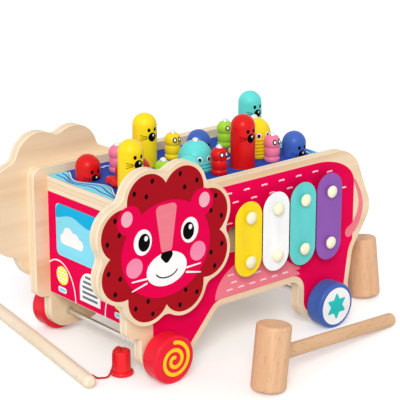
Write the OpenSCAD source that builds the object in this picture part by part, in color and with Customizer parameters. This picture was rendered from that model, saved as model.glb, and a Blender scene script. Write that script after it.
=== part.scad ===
// Whack-a-mole push cart: a plywood box on wheels with a scalloped lion plaque on each side,
// eight moles that see-saw in pairs, pull-out worms and whales, a sound-bar row,
// two mallets and a magnet fishing rod.
// Millimetres. +Z is up, the front faces -X, the sound bars face -Y.
// The origin is on the floor, midway between the axles, on the middle plane.

/* [Boards] */
// Thickness of the two side boards
side_t = 12; // [9:0.5:15]
// Distance between the inner faces of the side boards
inner_w = 134.8; // [124:0.4:160]
// Height of the side boards' top edge above the floor
rim_z = 181; // [178:0.5:200]
// Height of the deck's top face above the floor
deck_z = 172.4; // [166:0.2:176]
// Thickness of the deck
deck_t = 15.4; // [13:0.2:20]
// Length of the deck, front edge to rear edge
deck_l = 262; // [240:1:280]
// Thickness of the front, rear and base boards
board_t = 9; // [8:0.5:9.5]
// Height of the base board's underside above the floor
base_z = 57; // [55:0.5:62]
// Height of the front and rear boards' bottom edge above the floor
skirt_z = 50.4; // [48.6:0.2:54]

/* [Side board outline] */
// How far the side boards reach ahead of the deck's front edge
brow = 16; // [12:0.5:20]
// Height of the step under the brow
chin_z = 46.5; // [44:0.5:49]
// Height of the belly's underside above the floor
belly_z = 54; // [50:0.5:55]
// Height of the feet's underside above the floor
foot_z = 9; // [6:0.5:11]
// Distance from the front axle to the front edge of the front leg
front_leg_a = 22.7; // [18:0.1:26]
// Distance from the front axle to the rear edge of the front foot
front_leg_b = 32.4; // [26:0.2:36]
// Distance along the floor that the front leg's slanted edge covers
front_leg_slant = 40; // [30:0.5:50]
// Distance from the rear axle to the front edge of the rear leg
rear_leg_a = 32.6; // [26:0.1:38]
// Distance from the rear axle to the rear edge of the rear leg
rear_leg_b = 34.7; // [28:0.1:40]
// How far the top edge's corner lies behind the deck's rear edge
rump = 18.4; // [12:0.2:22]
// How far the bend above the tail lies behind the deck's rear edge
back_reach = 35.8; // [31:0.1:38]
// Height of the bend above the tail
back_z = 137.5; // [132:0.5:142]
// How far the tail bump's corner lies behind the deck's rear edge
tail_reach = 47; // [41:0.1:52]
// Height of the tail bump's corner
tail_z = 112.7; // [106:0.1:118]
// How far the bend under the tail lies behind the deck's rear edge
haunch_reach = 20; // [16:0.1:23]
// Height of the bend under the tail
haunch_z = 71; // [66:0.5:76]

/* [Side board corners] */
// Radius of the top front corner
nose_r = 10; // [6:0.5:14]
// Radius of the corner under the brow
chin_r = 8; // [4:0.5:9]
// Radius of the step between brow and front leg
step_r = 5; // [3:0.5:7]
// Radius of the feet's front and rear corners at the front leg
front_foot_r = 22; // [14:0.5:24]
// Radius of the belly's front corner
groin_r = 12; // [8:0.5:18]
// Radius of the belly's rear corner
arch_r = 11; // [6:0.5:16]
// Radius of the rear foot's corners
rear_foot_r = 20; // [12:0.5:24]
// Radius of the bend under the tail
haunch_r = 28; // [18:0.5:34]
// Radius of the tail bump
tail_r = 25; // [14:0.5:28]
// Radius of the bend above the tail
back_r = 16; // [10:0.5:24]
// Radius of the top rear corner
rump_r = 52; // [30:0.5:60]

/* [Wheels] */
// Distance of each axle from the deck's nearer end
axle_inset = 23.2; // [20:0.2:28]
// Wheel diameter
wheel_d = 48; // [44:0.5:52]
// Wheel width
wheel_w = 20.2; // [16:0.2:24]
// Radius of the wheels' rounded rims
wheel_edge_r = 3; // [1:0.5:5]
// Axle rod diameter
axle_d = 5; // [4:0.1:6]
// Depth of the blind axle bore in each wheel
wheel_bore = 14; // [8:0.5:15]
// Outer diameter of the axle bushes
bush_d = 9; // [8:0.5:11]
// Diameter of the bushes' flanges
bush_flange_d = 15; // [13:0.5:18]
// Thickness of the bushes' flanges
bush_flange_t = 1.1; // [0.8:0.1:2]

/* [Lion plaques] */
// Distance of the plaque's centre behind the deck's front edge
plaque_inset = 21.6; // [17:0.2:26]
// Height of the plaque's centre
plaque_z = 138.2; // [132:0.2:146]
// Thickness of the plaques
plaque_t = 12; // [9:0.5:15]
// Half the width of the oval that the mane lobes' centres lie on
mane_half_w = 55; // [52:0.5:57]
// Half the height of the oval that the mane lobes' centres lie on
mane_half_h = 51.2; // [49:0.1:55]
// Radius of each mane lobe
mane_lobe_r = 28.3; // [26:0.1:30]
// Radius of the fillet in the valleys between lobes
mane_valley_r = 12; // [6:0.5:16]
// Diameter of the screws that hold the plaques
screw_d = 4; // [3:0.1:5]
// Diameter of the screws' countersunk heads
screw_head_d = 8; // [7:0.1:9.5]
// How far the screws reach into the plaque
screw_grip = 8; // [5:0.5:8.5]
// Spacing of the screws in both directions
screw_pitch = 44; // [36:1:50]
// Distance of the screws' middle behind the plaque's centre
screw_dx = 22; // [18:0.5:26]
// Height of the screws' middle relative to the plaque's centre
screw_dz = -18; // [-22:0.5:-12]

/* [Sound bars] */
// Distance from the deck's front edge to the first bar
bar_front = 109.2; // [107:0.1:114]
// Distance from the last bar to the deck's rear edge
bar_rear = 8.3; // [6:0.1:14]
// Gap between neighbouring bars
bar_gap = 1.8; // [1.4:0.1:4]
// Length of the shortest bar
bar_l = 76.8; // [70:0.2:82]
// How much longer each next bar is
bar_step = 5; // [3:0.2:6]
// Thickness of the bars
bar_t = 1.4; // [1:0.1:3]
// Height of the bars' centres
bar_z = 118.7; // [116:0.1:123]
// Distance between the side board and the bars
bar_standoff = 9.1; // [6:0.1:10]
// Distance from a bar's middle to its pins, as a share of the bar's length
bar_node_share = 0.295; // [0.27:0.005:0.3]
// Diameter of the pins' heads
pin_head_d = 12.4; // [10:0.2:14]
// Height of the pins' rims
pin_rim_h = 1.4; // [0.8:0.1:2.4]
// Height of the pins' domed crowns
pin_crown = 2.2; // [1:0.1:3]
// Diameter of the necks that hold the pins' heads off the bars
pin_neck_d = 7; // [6.6:0.1:9]
// Height of the pins' necks
pin_neck_h = 2.6; // [1:0.1:3.4]
// Diameter of the pins' shanks
pin_d = 4.6; // [4:0.1:5.6]
// How far the pins reach into the side board
pin_grip = 8; // [5:0.5:8.5]
// Outer diameter of the felt spacers under the bars
spacer_d = 10; // [8:0.2:12]
// Height of the sound slot behind the bars
slot_h = 26; // [20:0.5:30]
// Radius of the sound slot's corners
slot_r = 6; // [3:0.5:9]
// How far the sound slot reaches ahead of the first bar
slot_front = 1.5; // [0:0.1:3]
// How far the sound slot ends ahead of the last bar's rear edge
slot_rear = 8; // [6:0.5:14]
// Thickness of the board that closes the sound slot inside the box
backing_t = 4; // [3:0.2:5]
// How far that board reaches past the slot
backing_lap = 8; // [5:0.5:10]

/* [Moles] */
// Mole diameter
mole_d = 24.8; // [23:0.2:25.6]
// Distance of the first mole column from the deck's front edge
mole_front = 25.5; // [24:0.1:28]
// Distance of the last mole column from the deck's rear edge
mole_rear = 23.5; // [23.2:0.1:28]
// Distance of the mole rows from the middle plane
row_y = 34; // [31:0.5:38]
// How far a raised mole stands above the deck
mole_up = 54; // [48:0.5:58]
// How far a lowered mole stands above the deck
mole_down = 24.3; // [20:0.1:28]
// Diameter of the stop flange at the mole's foot
mole_flange_d = 27.4; // [26.6:0.1:28.6]
// Thickness of the stop flange
mole_flange_t = 4; // [3:0.1:6]
// Diameter of the stem that the rocker pushes
mole_stem_d = 11; // [9:0.5:13]
// Length of the stem under the flange
mole_stem_l = 8; // [6:0.5:10]
// Radial clearance of the moles in the deck
mole_clear = 0.35; // [0.3:0.05:0.6]

/* [Rockers] */
// Distance from the pivot to the centre of each rocker tip
rocker_arm = 35.5; // [33:0.5:39]
// Radius of the rounded rocker tips
rocker_tip_r = 5; // [4:0.5:6.5]
// Thickness of the rocker arms
rocker_t = 6; // [5:0.2:6.4]
// Width of the rockers along the pivot
rocker_w = 16; // [12:0.5:20]
// Diameter of the rocker hubs
rocker_hub_d = 18; // [14:0.5:20]
// Diameter of the pivot rod
pivot_d = 6; // [5:0.1:8]
// Outer diameter of the spacer tubes on the pivot rod
tube_d = 10; // [9.5:0.5:13]
// Gap between the rocker tips and the mole stems at the ends of travel
tip_gap = 0.5; // [0.4:0.05:0.8]
// Width of the battens under the deck
batten_w = 22; // [20:0.5:24]
// Length of the battens across the deck
batten_l = 100; // [96:0.5:112]
// Wood left under the pivot rod in the battens
batten_foot = 7; // [5:0.5:10]

/* [Worms] */
// Distance of the worm row on the sound-bar side from the middle plane
worm_near_y = 39; // [36:0.5:41]
// Distance of the worm row on the far side from the middle plane
worm_far_y = 33; // [32:0.5:38]
// Diameter of a worm's round head
worm_head_d = 17.2; // [16.6:0.1:18]
// Diameter of the neck under the head
worm_neck_d = 14.4; // [13.6:0.1:15.4]
// Diameter of the body rings above the deck
worm_ring_d = 16.4; // [15:0.1:17]
// Height of the body ring under the head
worm_ring_h = 9.5; // [8:0.1:10.5]
// Height of the lowest ring above the deck
worm_collar_h = 5.4; // [4:0.1:7]
// Diameter of the widest body ring in the deck
worm_tail_d = 12.6; // [11.5:0.1:12.8]
// Diameter of the last body ring
worm_tip_d = 10.6; // [9.5:0.1:11.2]
// Height of each body ring in the deck
worm_tail_h = 6.4; // [5:0.1:6.8]
// Number of body rings in the deck
worm_rings_down = 5; // [2:1:5]
// How far a body ring bulges beyond its ends
ring_bulge = 1; // [0.5:0.1:1.4]
// Room left under a worm's tip
worm_room = 1.6; // [1:0.1:3]
// Radial clearance of the worms in their holes
worm_clear = 0.5; // [0.4:0.05:0.7]

/* [Whales] */
// Distance of the whale row from the middle plane, towards the sound bars
whale_row = 10; // [7:0.5:12]
// Distance of the first whale from the deck's front edge
whale_front = 47; // [46:0.2:52]
// Distance of the last whale from the deck's rear edge
whale_rear = 57.4; // [54:0.2:64]
// Diameter of a whale's body
whale_d = 34.4; // [31:0.2:35.4]
// Height of the front and middle whales
whale_h = 29.5; // [26:0.5:33]
// Height of the rear whale
whale_tall_h = 40; // [36:0.5:44]
// Direction that the whales' faces look, turned from the rear towards the far side
whale_face = -92; // [-110:1:-70]
// Direction of the whales' tails, turned from the rear towards the far side
whale_tail = 170; // [160:1:178]
// Radius of the round haunch in front of the tail
haunch_ball_r = 14; // [11:0.5:15]
// Distance of the haunch from a whale's middle
haunch_ball_reach = 6.5; // [4:0.5:8]
// Radius of each tail lobe
fluke_r = 7; // [6:0.5:8]
// Spacing of the two tail lobes
fluke_spread = 11; // [9:0.5:13]
// Thickness of the tail
fluke_t = 6; // [5:0.2:7]
// Radius of the tail's rounded rim
fluke_edge_r = 2.6; // [1.5:0.1:2.9]
// Distance from a whale's middle to the tail lobes' centres
fluke_reach = 20; // [18:0.5:22]
// How steeply the tail rises
fluke_rise = 7; // [4:1:14]
// Diameter of the peg under a whale
whale_peg_d = 11; // [9:0.2:13]
// Depth of the peg holes in the deck
whale_peg_l = 9.5; // [7:0.5:10]
// Radius of the throat ribs
rib_r = 1; // [0.8:0.1:1.4]
// How far round the whale the throat ribs run
rib_sweep = 130; // [90:5:160]
// Spacing of the throat ribs
rib_pitch = 3.6; // [3:0.1:5]

/* [Catch tacks] */
// Diameter of the steel tacks that the magnet catches
tack_d = 7; // [6:0.1:8]
// Height of a tack's dome
tack_h = 3.2; // [2:0.1:3.4]
// Diameter of the flat that a tack sits on
crown_d = 8.4; // [8:0.1:9.6]
// Diameter of a tack's shank
tack_shank_d = 2; // [1.6:0.1:2.6]
// Length of a tack's shank
tack_shank_l = 6; // [4:0.5:7]

/* [Mallets] */
// Diameter of a mallet's head
mallet_head_d = 34; // [30:0.5:38]
// Length of a mallet's head
mallet_head_l = 64; // [56:0.5:70]
// Diameter of a mallet's handle
mallet_handle_d = 14; // [12:0.2:16]
// Distance from the head's middle to the handle's end
mallet_reach = 208; // [180:1:220]
// Radius of the rounded edges on heads and handles
mallet_edge_r = 3; // [2:0.5:5]
// How far the handle passes the head's middle
mallet_tenon = 8; // [4:0.5:12]
// Where the first mallet's head stands
mallet_a_at = [-46.8, -168.8]; // [-200:0.1:200]
// Heading of the first mallet's handle
mallet_a_turn = 10; // [0:1:20]
// Where the second mallet's head stands
mallet_b_at = [196, -52]; // [-200:0.1:200]
// Heading of the second mallet's handle
mallet_b_turn = 94; // [90:1:96]

/* [Fishing rod] */
// Rod diameter
rod_d = 13; // [10:0.5:15]
// Rod length
rod_l = 230; // [200:5:240]
// Radius of the rod's rounded ends
rod_edge_r = 4; // [1:0.5:4.5]
// Where the rod's tip lies
rod_tip = [-176, -60]; // [-200:0.1:200]
// Heading of the rod, from its grip to its tip
rod_turn = -100; // [-104:1:-96]
// Distance from the rod's tip to its string hole
rod_hole_from_tip = 18; // [14:1:22]
// String diameter
string_d = 2; // [1.6:0.1:2.2]
// Where the magnet bell stands
bell_at = [-132, -50]; // [-200:0.1:200]
// Diameter of the bell's body
bell_d = 17.6; // [15:0.2:20]
// Diameter of the bell's flange
bell_flange_d = 23; // [21:0.2:26]
// Height of the bell
bell_h = 25; // [22:0.5:28]
// Height of the bell's flange
bell_flange_h = 4.4; // [4:0.2:4.6]
// Radius of the bell's rounded edges
bell_edge_r = 1.8; // [1:0.1:1.9]
// Diameter of the magnet in the bell
magnet_d = 12; // [9:0.5:14]
// Thickness of the magnet
magnet_t = 4; // [3:0.5:6]

/* [Fits] */
// Radial clearance of turning and pressed fits
fit = 0.05; // [0.03:0.01:0.08]
// Gap between faces that move past each other
gap = 0.4; // [0.35:0.05:0.6]
// Gap between a wheel and its bush flange
wheel_gap = 0.4; // [0.35:0.05:1]
// Gap under pieces that rest on the deck
seat = 0.2; // [0.15:0.05:0.4]
// Diameter of the glued dowels between the boards
dowel_d = 6; // [5:0.2:6.6]
// Depth of the dowels in the side boards
dowel_side = 8; // [6:0.5:8.5]
// Depth of the dowels in the other boards
dowel_board = 14; // [10:0.5:18]
// Distance of the outer dowels from the deck's ends
dowel_end = 31; // [27:0.5:40]
// Distance of the end boards' dowels from the deck and the base board
dowel_inset = 24; // [18:0.5:30]

/* [Hidden] */
$fn = 64;
eps = 0.01;
arc_steps = 8;
half_turn = 180;
column_count = 4;
columns = [0 : column_count - 1];
gaps = [0 : column_count - 2];
sides = [-1, 1];

// Boards
half_l = deck_l / 2;
inner_y = inner_w / 2;
outer_y = inner_y + side_t;
under_z = deck_z - deck_t;
// Wheels
axle_z = wheel_d / 2;
axle_x = half_l - axle_inset;
wheel_in_y = outer_y + bush_flange_t + wheel_gap;
axle_l = 2 * (wheel_in_y + wheel_bore);
// Moles and rockers
mole_pitch = (deck_l - mole_front - mole_rear) / (column_count - 1);
mole_travel = mole_up - mole_down;
mole_foot_z = under_z - gap - mole_flange_t - mole_stem_l;
mole_l = deck_z + mole_up - mole_foot_z;
rocker_swing = asin(mole_travel / 2 / rocker_arm);
pivot_z = mole_foot_z - tip_gap - rocker_tip_r - mole_travel / 2;
batten_h = under_z - pivot_z + pivot_d / 2 + batten_foot;
pivot_grip = board_t / 2;
// Left to right along the deck: which side's mole is raised, -1 for the sound-bar side
raised = [-1, 1, -1, 1];
// Worms and whales
worm_hole_r = worm_tail_d / 2 + worm_clear;
worm_hole_l = worm_rings_down * worm_tail_h + worm_room;
neck_drop = sqrt(pow(worm_head_d, 2) - pow(worm_neck_d, 2)) / 2;
crown_rise = sqrt(pow(worm_head_d, 2) - pow(crown_d, 2)) / 2;
worm_up_h = worm_collar_h + worm_ring_h + neck_drop + crown_rise;
whale_heights = [whale_h, whale_h, whale_tall_h];
whales = [0 : len(whale_heights) - 1];
whale_pitch = (deck_l - whale_front - whale_rear) / (len(whale_heights) - 1);
// Plaques and sound bars
mane_lobes = 8;
plaque_x = half_l - plaque_inset;
bar_count = 4;
bar_w = (deck_l - bar_front - bar_rear + bar_gap) / bar_count - bar_gap;
slot_x0 = bar_front - half_l - slot_front;
slot_x1 = half_l - bar_rear - slot_rear;
// Mallets: the head's rim and the handle's end both touch the floor
mallet_tilt = atan((mallet_head_l - mallet_handle_d) / (2 * mallet_reach - mallet_head_d));
mallet_lift = (mallet_head_l / 2 - mallet_edge_r) * cos(mallet_tilt)
    + (mallet_head_d / 2 - mallet_edge_r) * sin(mallet_tilt) + mallet_edge_r;
// String: from the rod's cross hole, along the floor, over the bell's flange and into its top
string_sides = 8;
string_ref = [0.2, 1, 0.1];
string_route = [
    [-174.8, -41.9, 6.5], [-171.4, -42.5, 6.5], [-168.0, -43.1, 6.5], [-165.4, -43.6, 6.3],
    [-162.4, -44.2, 5.0], [-159.8, -44.8, 2.8], [-157.0, -45.6, 1.3], [-153.8, -47.0, 1.0],
    [-150.6, -48.8, 1.0], [-147.8, -49.8, 2.2], [-145.6, -50.0, 5.0], [-143.8, -50.0, 8.2],
    [-142.6, -50.0, 11.8], [-142.4, -50.0, 16.0], [-142.4, -50.0, 20.0], [-142.2, -50.0, 23.4],
    [-141.0, -50.0, 26.4], [-138.6, -50.0, 28.6], [-135.8, -50.0, 29.0], [-133.4, -50.0, 27.8],
    [-132.2, -50.0, 25.4], [-132.0, -50.0, 22.6]
];

wood = "#f3ddb4";
beech = "#e0ae7c";
steel = "#c4c6c8";

// Shared geometry

function unit(v) = v / norm(v);

// Arc of radius r that rounds corner b between its neighbours a and c
function corner_arc(a, b, c, r) =
    let (u = unit(a - b), v = unit(c - b), half = acos(u * v) / 2)
    let (reach = min(r / tan(half), norm(a - b) / 2.05, norm(c - b) / 2.05))
    let (radius = reach * tan(half), centre = b + unit(u + v) * radius / sin(half))
    let (from = b + u * reach - centre, turn = cross(u, v) > 0 ? -1 : 1)
    [for (i = [0 : arc_steps])
        let (a = atan2(from.y, from.x) + turn * (half_turn - 2 * half) * i / arc_steps)
        centre + radius * [cos(a), sin(a)]];

// Outline through [x, y, corner radius] points with every corner rounded
function rounded(path) =
    let (n = len(path), at = [for (p = path) [p.x, p.y]])
    [for (i = [0 : n - 1])
        each corner_arc(at[(i + n - 1) % n], at[i], at[(i + 1) % n], path[i].z)];

function column_x(i) = mole_front - half_l + i * mole_pitch;
function worm_x(i) = (column_x(i) + column_x(i + 1)) / 2;
function worm_y(side) = side > 0 ? worm_far_y : -worm_near_y;
function whale_x(i) = whale_front - half_l + i * whale_pitch;
function bar_len(i) = bar_l + i * bar_step;
function bar_cx(i) = bar_front - half_l + bar_w / 2 + i * (bar_w + bar_gap);
function bar_node(i) = bar_len(i) * bar_node_share;

// A profile drawn in X and Z, extruded from y = 0 towards -Y
module upright(t) {
    rotate([90, 0, 0]) linear_extrude(t) children();
}

// A rod along Y, from y0 to y1
module rod_y(d, y0, y1) {
    translate([0, y0, 0]) rotate([-90, 0, 0]) cylinder(d = d, h = y1 - y0);
}

// A rod along X, from x0 to x1
module rod_x(d, x0, x1) {
    translate([x0, 0, 0]) rotate([0, 90, 0]) cylinder(d = d, h = x1 - x0);
}

// Half profile of a turned rod of radius r and length l with rounded ends
module turned_profile(r, l, edge) {
    square([r - edge, l]);
    translate([0, edge]) square([r, l - 2 * edge]);
    for (z = [edge, l - edge]) translate([r - edge, z]) intersection() {
        circle(edge);
        translate([-min(edge, r - edge), -edge]) square([2 * edge, 2 * edge]);
    }
}

module far_side() {
    mirror([0, 1, 0]) children();
}

// Boards

module side_outline() {
    polygon(rounded([
        [-half_l - brow, rim_z, nose_r],
        [-half_l - brow, chin_z, chin_r],
        [-axle_x - front_leg_a, chin_z, step_r],
        [-axle_x - front_leg_a, foot_z, front_foot_r],
        [-axle_x + front_leg_b, foot_z, front_foot_r],
        [-axle_x + front_leg_b + front_leg_slant, belly_z, groin_r],
        [axle_x - rear_leg_a, belly_z, arch_r],
        [axle_x - rear_leg_a, foot_z, rear_foot_r],
        [axle_x + rear_leg_b, foot_z, rear_foot_r],
        [half_l + haunch_reach, haunch_z, haunch_r],
        [half_l + tail_reach, tail_z, tail_r],
        [half_l + back_reach, back_z, back_r],
        [half_l + rump, rim_z, rump_r]
    ]));
}

module dowel_places() {
    for (x = [-1, 0, 1]) translate([x * (half_l - dowel_end), 0, deck_z - deck_t / 2]) children();
    for (x = sides) translate([x * (half_l - dowel_end) / 2, 0, base_z + board_t / 2]) children();
    for (x = sides, z = [base_z + dowel_inset, under_z - dowel_inset])
        translate([x * (half_l - board_t / 2), 0, z]) children();
}

module dowel_cut(extra) {
    dowel_places() rod_y(dowel_d + extra, -inner_y - dowel_side, -inner_y + dowel_board);
}

module screw_places() {
    for (x = sides, z = sides) translate([screw_dx - plaque_x + x * screw_pitch / 2, 0,
        plaque_z + screw_dz + z * screw_pitch / 2]) children();
}

module screw(extra) {
    sink = (screw_head_d - screw_d) / 2;
    rod_y(screw_d + extra, -outer_y - screw_grip, -inner_y - eps);
    translate([0, -inner_y - sink - extra, 0]) rotate([-90, 0, 0])
        cylinder(d1 = screw_d + extra, d2 = screw_head_d + 3 * extra, h = sink + extra);
}

module pin_places() {
    for (i = [0 : bar_count - 1], s = sides)
        translate([bar_cx(i), 0, bar_z + s * bar_node(i)]) children();
}

// Side board without the openings that only the sound-bar side has
module side_blank() {
    difference() {
        translate([0, -inner_y, 0]) upright(side_t) side_outline();
        for (x = [-axle_x, axle_x]) translate([x, 0, axle_z])
            rod_y(bush_d + 2 * fit, -outer_y - eps, -inner_y + eps);
        dowel_cut(2 * fit);
        screw_places() screw(2 * fit);
    }
}

module side_panel_near() {
    color(wood) difference() {
        side_blank();
        translate([0, -inner_y + eps, 0]) upright(side_t + 2 * eps)
            polygon(rounded([
                [slot_x0, bar_z - slot_h / 2, slot_r], [slot_x1, bar_z - slot_h / 2, slot_r],
                [slot_x1, bar_z + slot_h / 2, slot_r], [slot_x0, bar_z + slot_h / 2, slot_r]
            ]));
        pin_places() rod_y(pin_d + 2 * fit, -outer_y - eps, -outer_y + pin_grip);
    }
}

module side_panel_far() {
    color(wood) far_side() side_blank();
}

// Board inside the box that closes the sound slot
module slot_backing() {
    end_x = half_l - board_t;
    color(wood) translate([slot_x0 - backing_lap, -inner_y, bar_z - slot_h / 2 - backing_lap])
        cube([end_x - slot_x0 + backing_lap, backing_t, slot_h + 2 * backing_lap]);
}

// Board across the cart at one end, x being its outer face and s the direction inwards
module end_board(x, s) {
    difference() {
        translate([s > 0 ? x : x - board_t, -inner_y, skirt_z])
            cube([board_t, inner_w, under_z - skirt_z]);
        translate([x, 0, pivot_z])
            rod_x(pivot_d + 2 * fit, min(s * (board_t - pivot_grip), s * (board_t + eps)),
                max(s * (board_t - pivot_grip), s * (board_t + eps)));
        dowel_cut(2 * fit);
        far_side() dowel_cut(2 * fit);
    }
}

module front_panel() {
    color("#f0064f") end_board(-half_l, 1);
}

module rear_panel() {
    color("#f0064f") end_board(half_l, -1);
}

module base_panel() {
    color(wood) difference() {
        translate([-half_l + board_t, -inner_y, base_z])
            cube([deck_l - 2 * board_t, inner_w, board_t]);
        dowel_cut(2 * fit);
        far_side() dowel_cut(2 * fit);
    }
}

module deck() {
    color("#2f4fb0") difference() {
        translate([-half_l, -inner_y, under_z]) cube([deck_l, inner_w, deck_t]);
        for (i = columns, s = sides) translate([column_x(i), s * row_y, under_z - eps])
            cylinder(r = mole_d / 2 + mole_clear, h = deck_t + 2 * eps);
        for (i = gaps, s = sides) translate([worm_x(i), worm_y(s), under_z - eps])
            cylinder(r = worm_hole_r, h = deck_t + 2 * eps);
        for (i = whales) translate([whale_x(i), -whale_row, deck_z - whale_peg_l - gap])
            cylinder(d = whale_peg_d + 2 * gap, h = whale_peg_l + gap + eps);
        dowel_cut(2 * fit);
        far_side() dowel_cut(2 * fit);
    }
}

module dowels() {
    color(beech) {
        dowel_cut(0);
        far_side() dowel_cut(0);
    }
}

// Lion plaques

// Centre of the k-th mane lobe about the plaque's centre
function lobe_at(k) =
    let (a = 2 * half_turn * (k + 0.5) / mane_lobes)
    [mane_half_w * cos(a), mane_half_h * sin(a)];

module mane_outline() {
    for (k = [1 : mane_lobes]) {
        a = lobe_at(k);
        b = lobe_at(k + 1);
        middle = (a + b) / 2;
        out = unit([b.y - a.y, a.x - b.x]);
        valley = middle + out * sqrt(pow(mane_lobe_r + mane_valley_r, 2) - pow(norm(b - a) / 2, 2));
        translate(a) circle(mane_lobe_r);
        difference() {
            polygon([[0, 0], a, valley, b]);
            translate(valley) circle(mane_valley_r);
        }
    }
}

module plaque_blank() {
    difference() {
        translate([-plaque_x, -outer_y, plaque_z]) upright(plaque_t) mane_outline();
        screw_places() screw(2 * fit);
    }
}

module plaque_near() {
    color("#a8161f") plaque_blank();
}

module plaque_far() {
    color("#a8161f") far_side() plaque_blank();
}

module plaque_screws() {
    color(steel) {
        screw_places() screw(0);
        far_side() screw_places() screw(0);
    }
}

// Sound bars

module sound_bar(i, tint) {
    half = bar_len(i) / 2 - bar_w / 2;
    color(tint) translate([bar_cx(i), -outer_y - bar_standoff, bar_z]) difference() {
        upright(bar_t) {
            square([bar_w, 2 * half], center = true);
            for (s = sides) translate([0, s * half]) circle(d = bar_w);
        }
        for (s = sides) translate([0, 0, s * bar_node(i)])
            rod_y(pin_d + 2 * gap, -bar_t - eps, eps);
    }
}

module bar_yellow() {
    sound_bar(0, "#ffd91f");
}

module bar_white() {
    sound_bar(1, "#ffffff");
}

module bar_teal() {
    sound_bar(2, "#69d1cb");
}

module bar_purple() {
    sound_bar(3, "#8f5dae");
}

module bar_pin() {
    face = outer_y + bar_standoff + bar_t;
    rim_top = pin_neck_h + pin_rim_h;
    crown_r = (pow(pin_head_d / 2, 2) + pow(pin_crown, 2)) / (2 * pin_crown);
    rod_y(pin_d, -face - eps, -outer_y + pin_grip);
    translate([0, -face, 0]) rotate([90, 0, 0]) rotate_extrude() {
        square([pin_neck_d / 2, pin_neck_h + eps]);
        translate([0, pin_neck_h]) square([pin_head_d / 2, pin_rim_h]);
        intersection() {
            translate([0, rim_top + pin_crown - crown_r]) circle(crown_r, $fn = 128);
            translate([0, rim_top - eps]) square([pin_head_d / 2, pin_crown + eps]);
        }
    }
}

module bar_pins() {
    color("#fdf5d8") pin_places() bar_pin();
}

module bar_spacers() {
    color("#d8d2c4") pin_places() difference() {
        rod_y(spacer_d, -outer_y - bar_standoff, -outer_y);
        rod_y(pin_d + 2 * fit, -outer_y - bar_standoff - eps, -outer_y + eps);
    }
}

// Wheels and axles

module axle_bush() {
    difference() {
        union() {
            rod_y(bush_d, -outer_y, -inner_y);
            rod_y(bush_flange_d, -outer_y - bush_flange_t, -outer_y);
        }
        rod_y(axle_d + 2 * fit, -outer_y - bush_flange_t - eps, -inner_y + eps);
    }
}

module axle_bushes() {
    color("#e8e4da") for (x = [-axle_x, axle_x]) translate([x, 0, axle_z]) {
        axle_bush();
        far_side() axle_bush();
    }
}

module axle(x) {
    color(steel) translate([x, 0, axle_z]) rod_y(axle_d, -axle_l / 2, axle_l / 2);
}

module wheel(x, tint) {
    color(tint) translate([x, -wheel_in_y, axle_z]) difference() {
        rotate([90, 0, 0]) rotate_extrude() turned_profile(wheel_d / 2, wheel_w, wheel_edge_r);
        rod_y(axle_d + 2 * fit, -wheel_bore - fit, eps);
    }
}

module front_axle() {
    axle(-axle_x);
}

module front_wheel_near() {
    wheel(-axle_x, "#f0213a");
}

module front_wheel_far() {
    far_side() wheel(-axle_x, "#f0213a");
}

module rear_axle() {
    axle(axle_x);
}

module rear_wheel_near() {
    wheel(axle_x, "#4560b5");
}

module rear_wheel_far() {
    far_side() wheel(axle_x, "#4560b5");
}

// Moles and the see-saw under the deck

module mole(i, side, tint) {
    lift = raised[i] == side ? 0 : -mole_travel;
    color(tint) translate([column_x(i), side * row_y, mole_foot_z + lift]) rotate_extrude() {
        square([mole_stem_d / 2, mole_stem_l + eps]);
        translate([0, mole_stem_l]) square([mole_flange_d / 2, mole_flange_t]);
        translate([0, mole_stem_l]) square([mole_d / 2, mole_l - mole_stem_l - mole_d / 2]);
        translate([0, mole_l - mole_d / 2]) intersection() {
            circle(d = mole_d);
            square(mole_d);
        }
    }
}

module mole_yellow_near() {
    mole(0, -1, "#ffe92b");
}

module mole_red_far() {
    mole(0, 1, "#d91f1f");
}

module mole_teal_near() {
    mole(1, -1, "#6fe0d8");
}

module mole_yellow_far() {
    mole(1, 1, "#ffe92b");
}

module mole_red_near() {
    mole(2, -1, "#d91f1f");
}

module mole_blue_far() {
    mole(2, 1, "#4a65bb");
}

module mole_blue_near() {
    mole(3, -1, "#4a65bb");
}

module mole_teal_far() {
    mole(3, 1, "#6fe0d8");
}

module rocker(i) {
    color(beech) translate([column_x(i), 0, pivot_z]) rotate([raised[i] * rocker_swing, 0, 0])
        rotate([90, 0, 90]) translate([0, 0, -rocker_w / 2]) linear_extrude(rocker_w) difference() {
            union() {
                circle(d = rocker_hub_d);
                square([2 * rocker_arm, rocker_t], center = true);
                for (s = sides) translate([s * rocker_arm, 0]) circle(rocker_tip_r);
            }
            circle(d = pivot_d + 2 * fit);
        }
}

module rocker_1() {
    rocker(0);
}

module rocker_2() {
    rocker(1);
}

module rocker_3() {
    rocker(2);
}

module rocker_4() {
    rocker(3);
}

module cross_battens() {
    color(wood) for (i = gaps) difference() {
        translate([worm_x(i) - batten_w / 2, -batten_l / 2, under_z - batten_h])
            cube([batten_w, batten_l, batten_h]);
        for (s = sides) translate([worm_x(i), worm_y(s), deck_z - worm_hole_l])
            cylinder(r = worm_hole_r, h = worm_hole_l);
        translate([worm_x(i), 0, pivot_z])
            rod_x(pivot_d + 2 * fit, -batten_w / 2 - eps, batten_w / 2 + eps);
    }
}

module pivot_rod() {
    reach = half_l - board_t + pivot_grip - fit;
    color(steel) translate([0, 0, pivot_z]) rod_x(pivot_d, -reach, reach);
}

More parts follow.
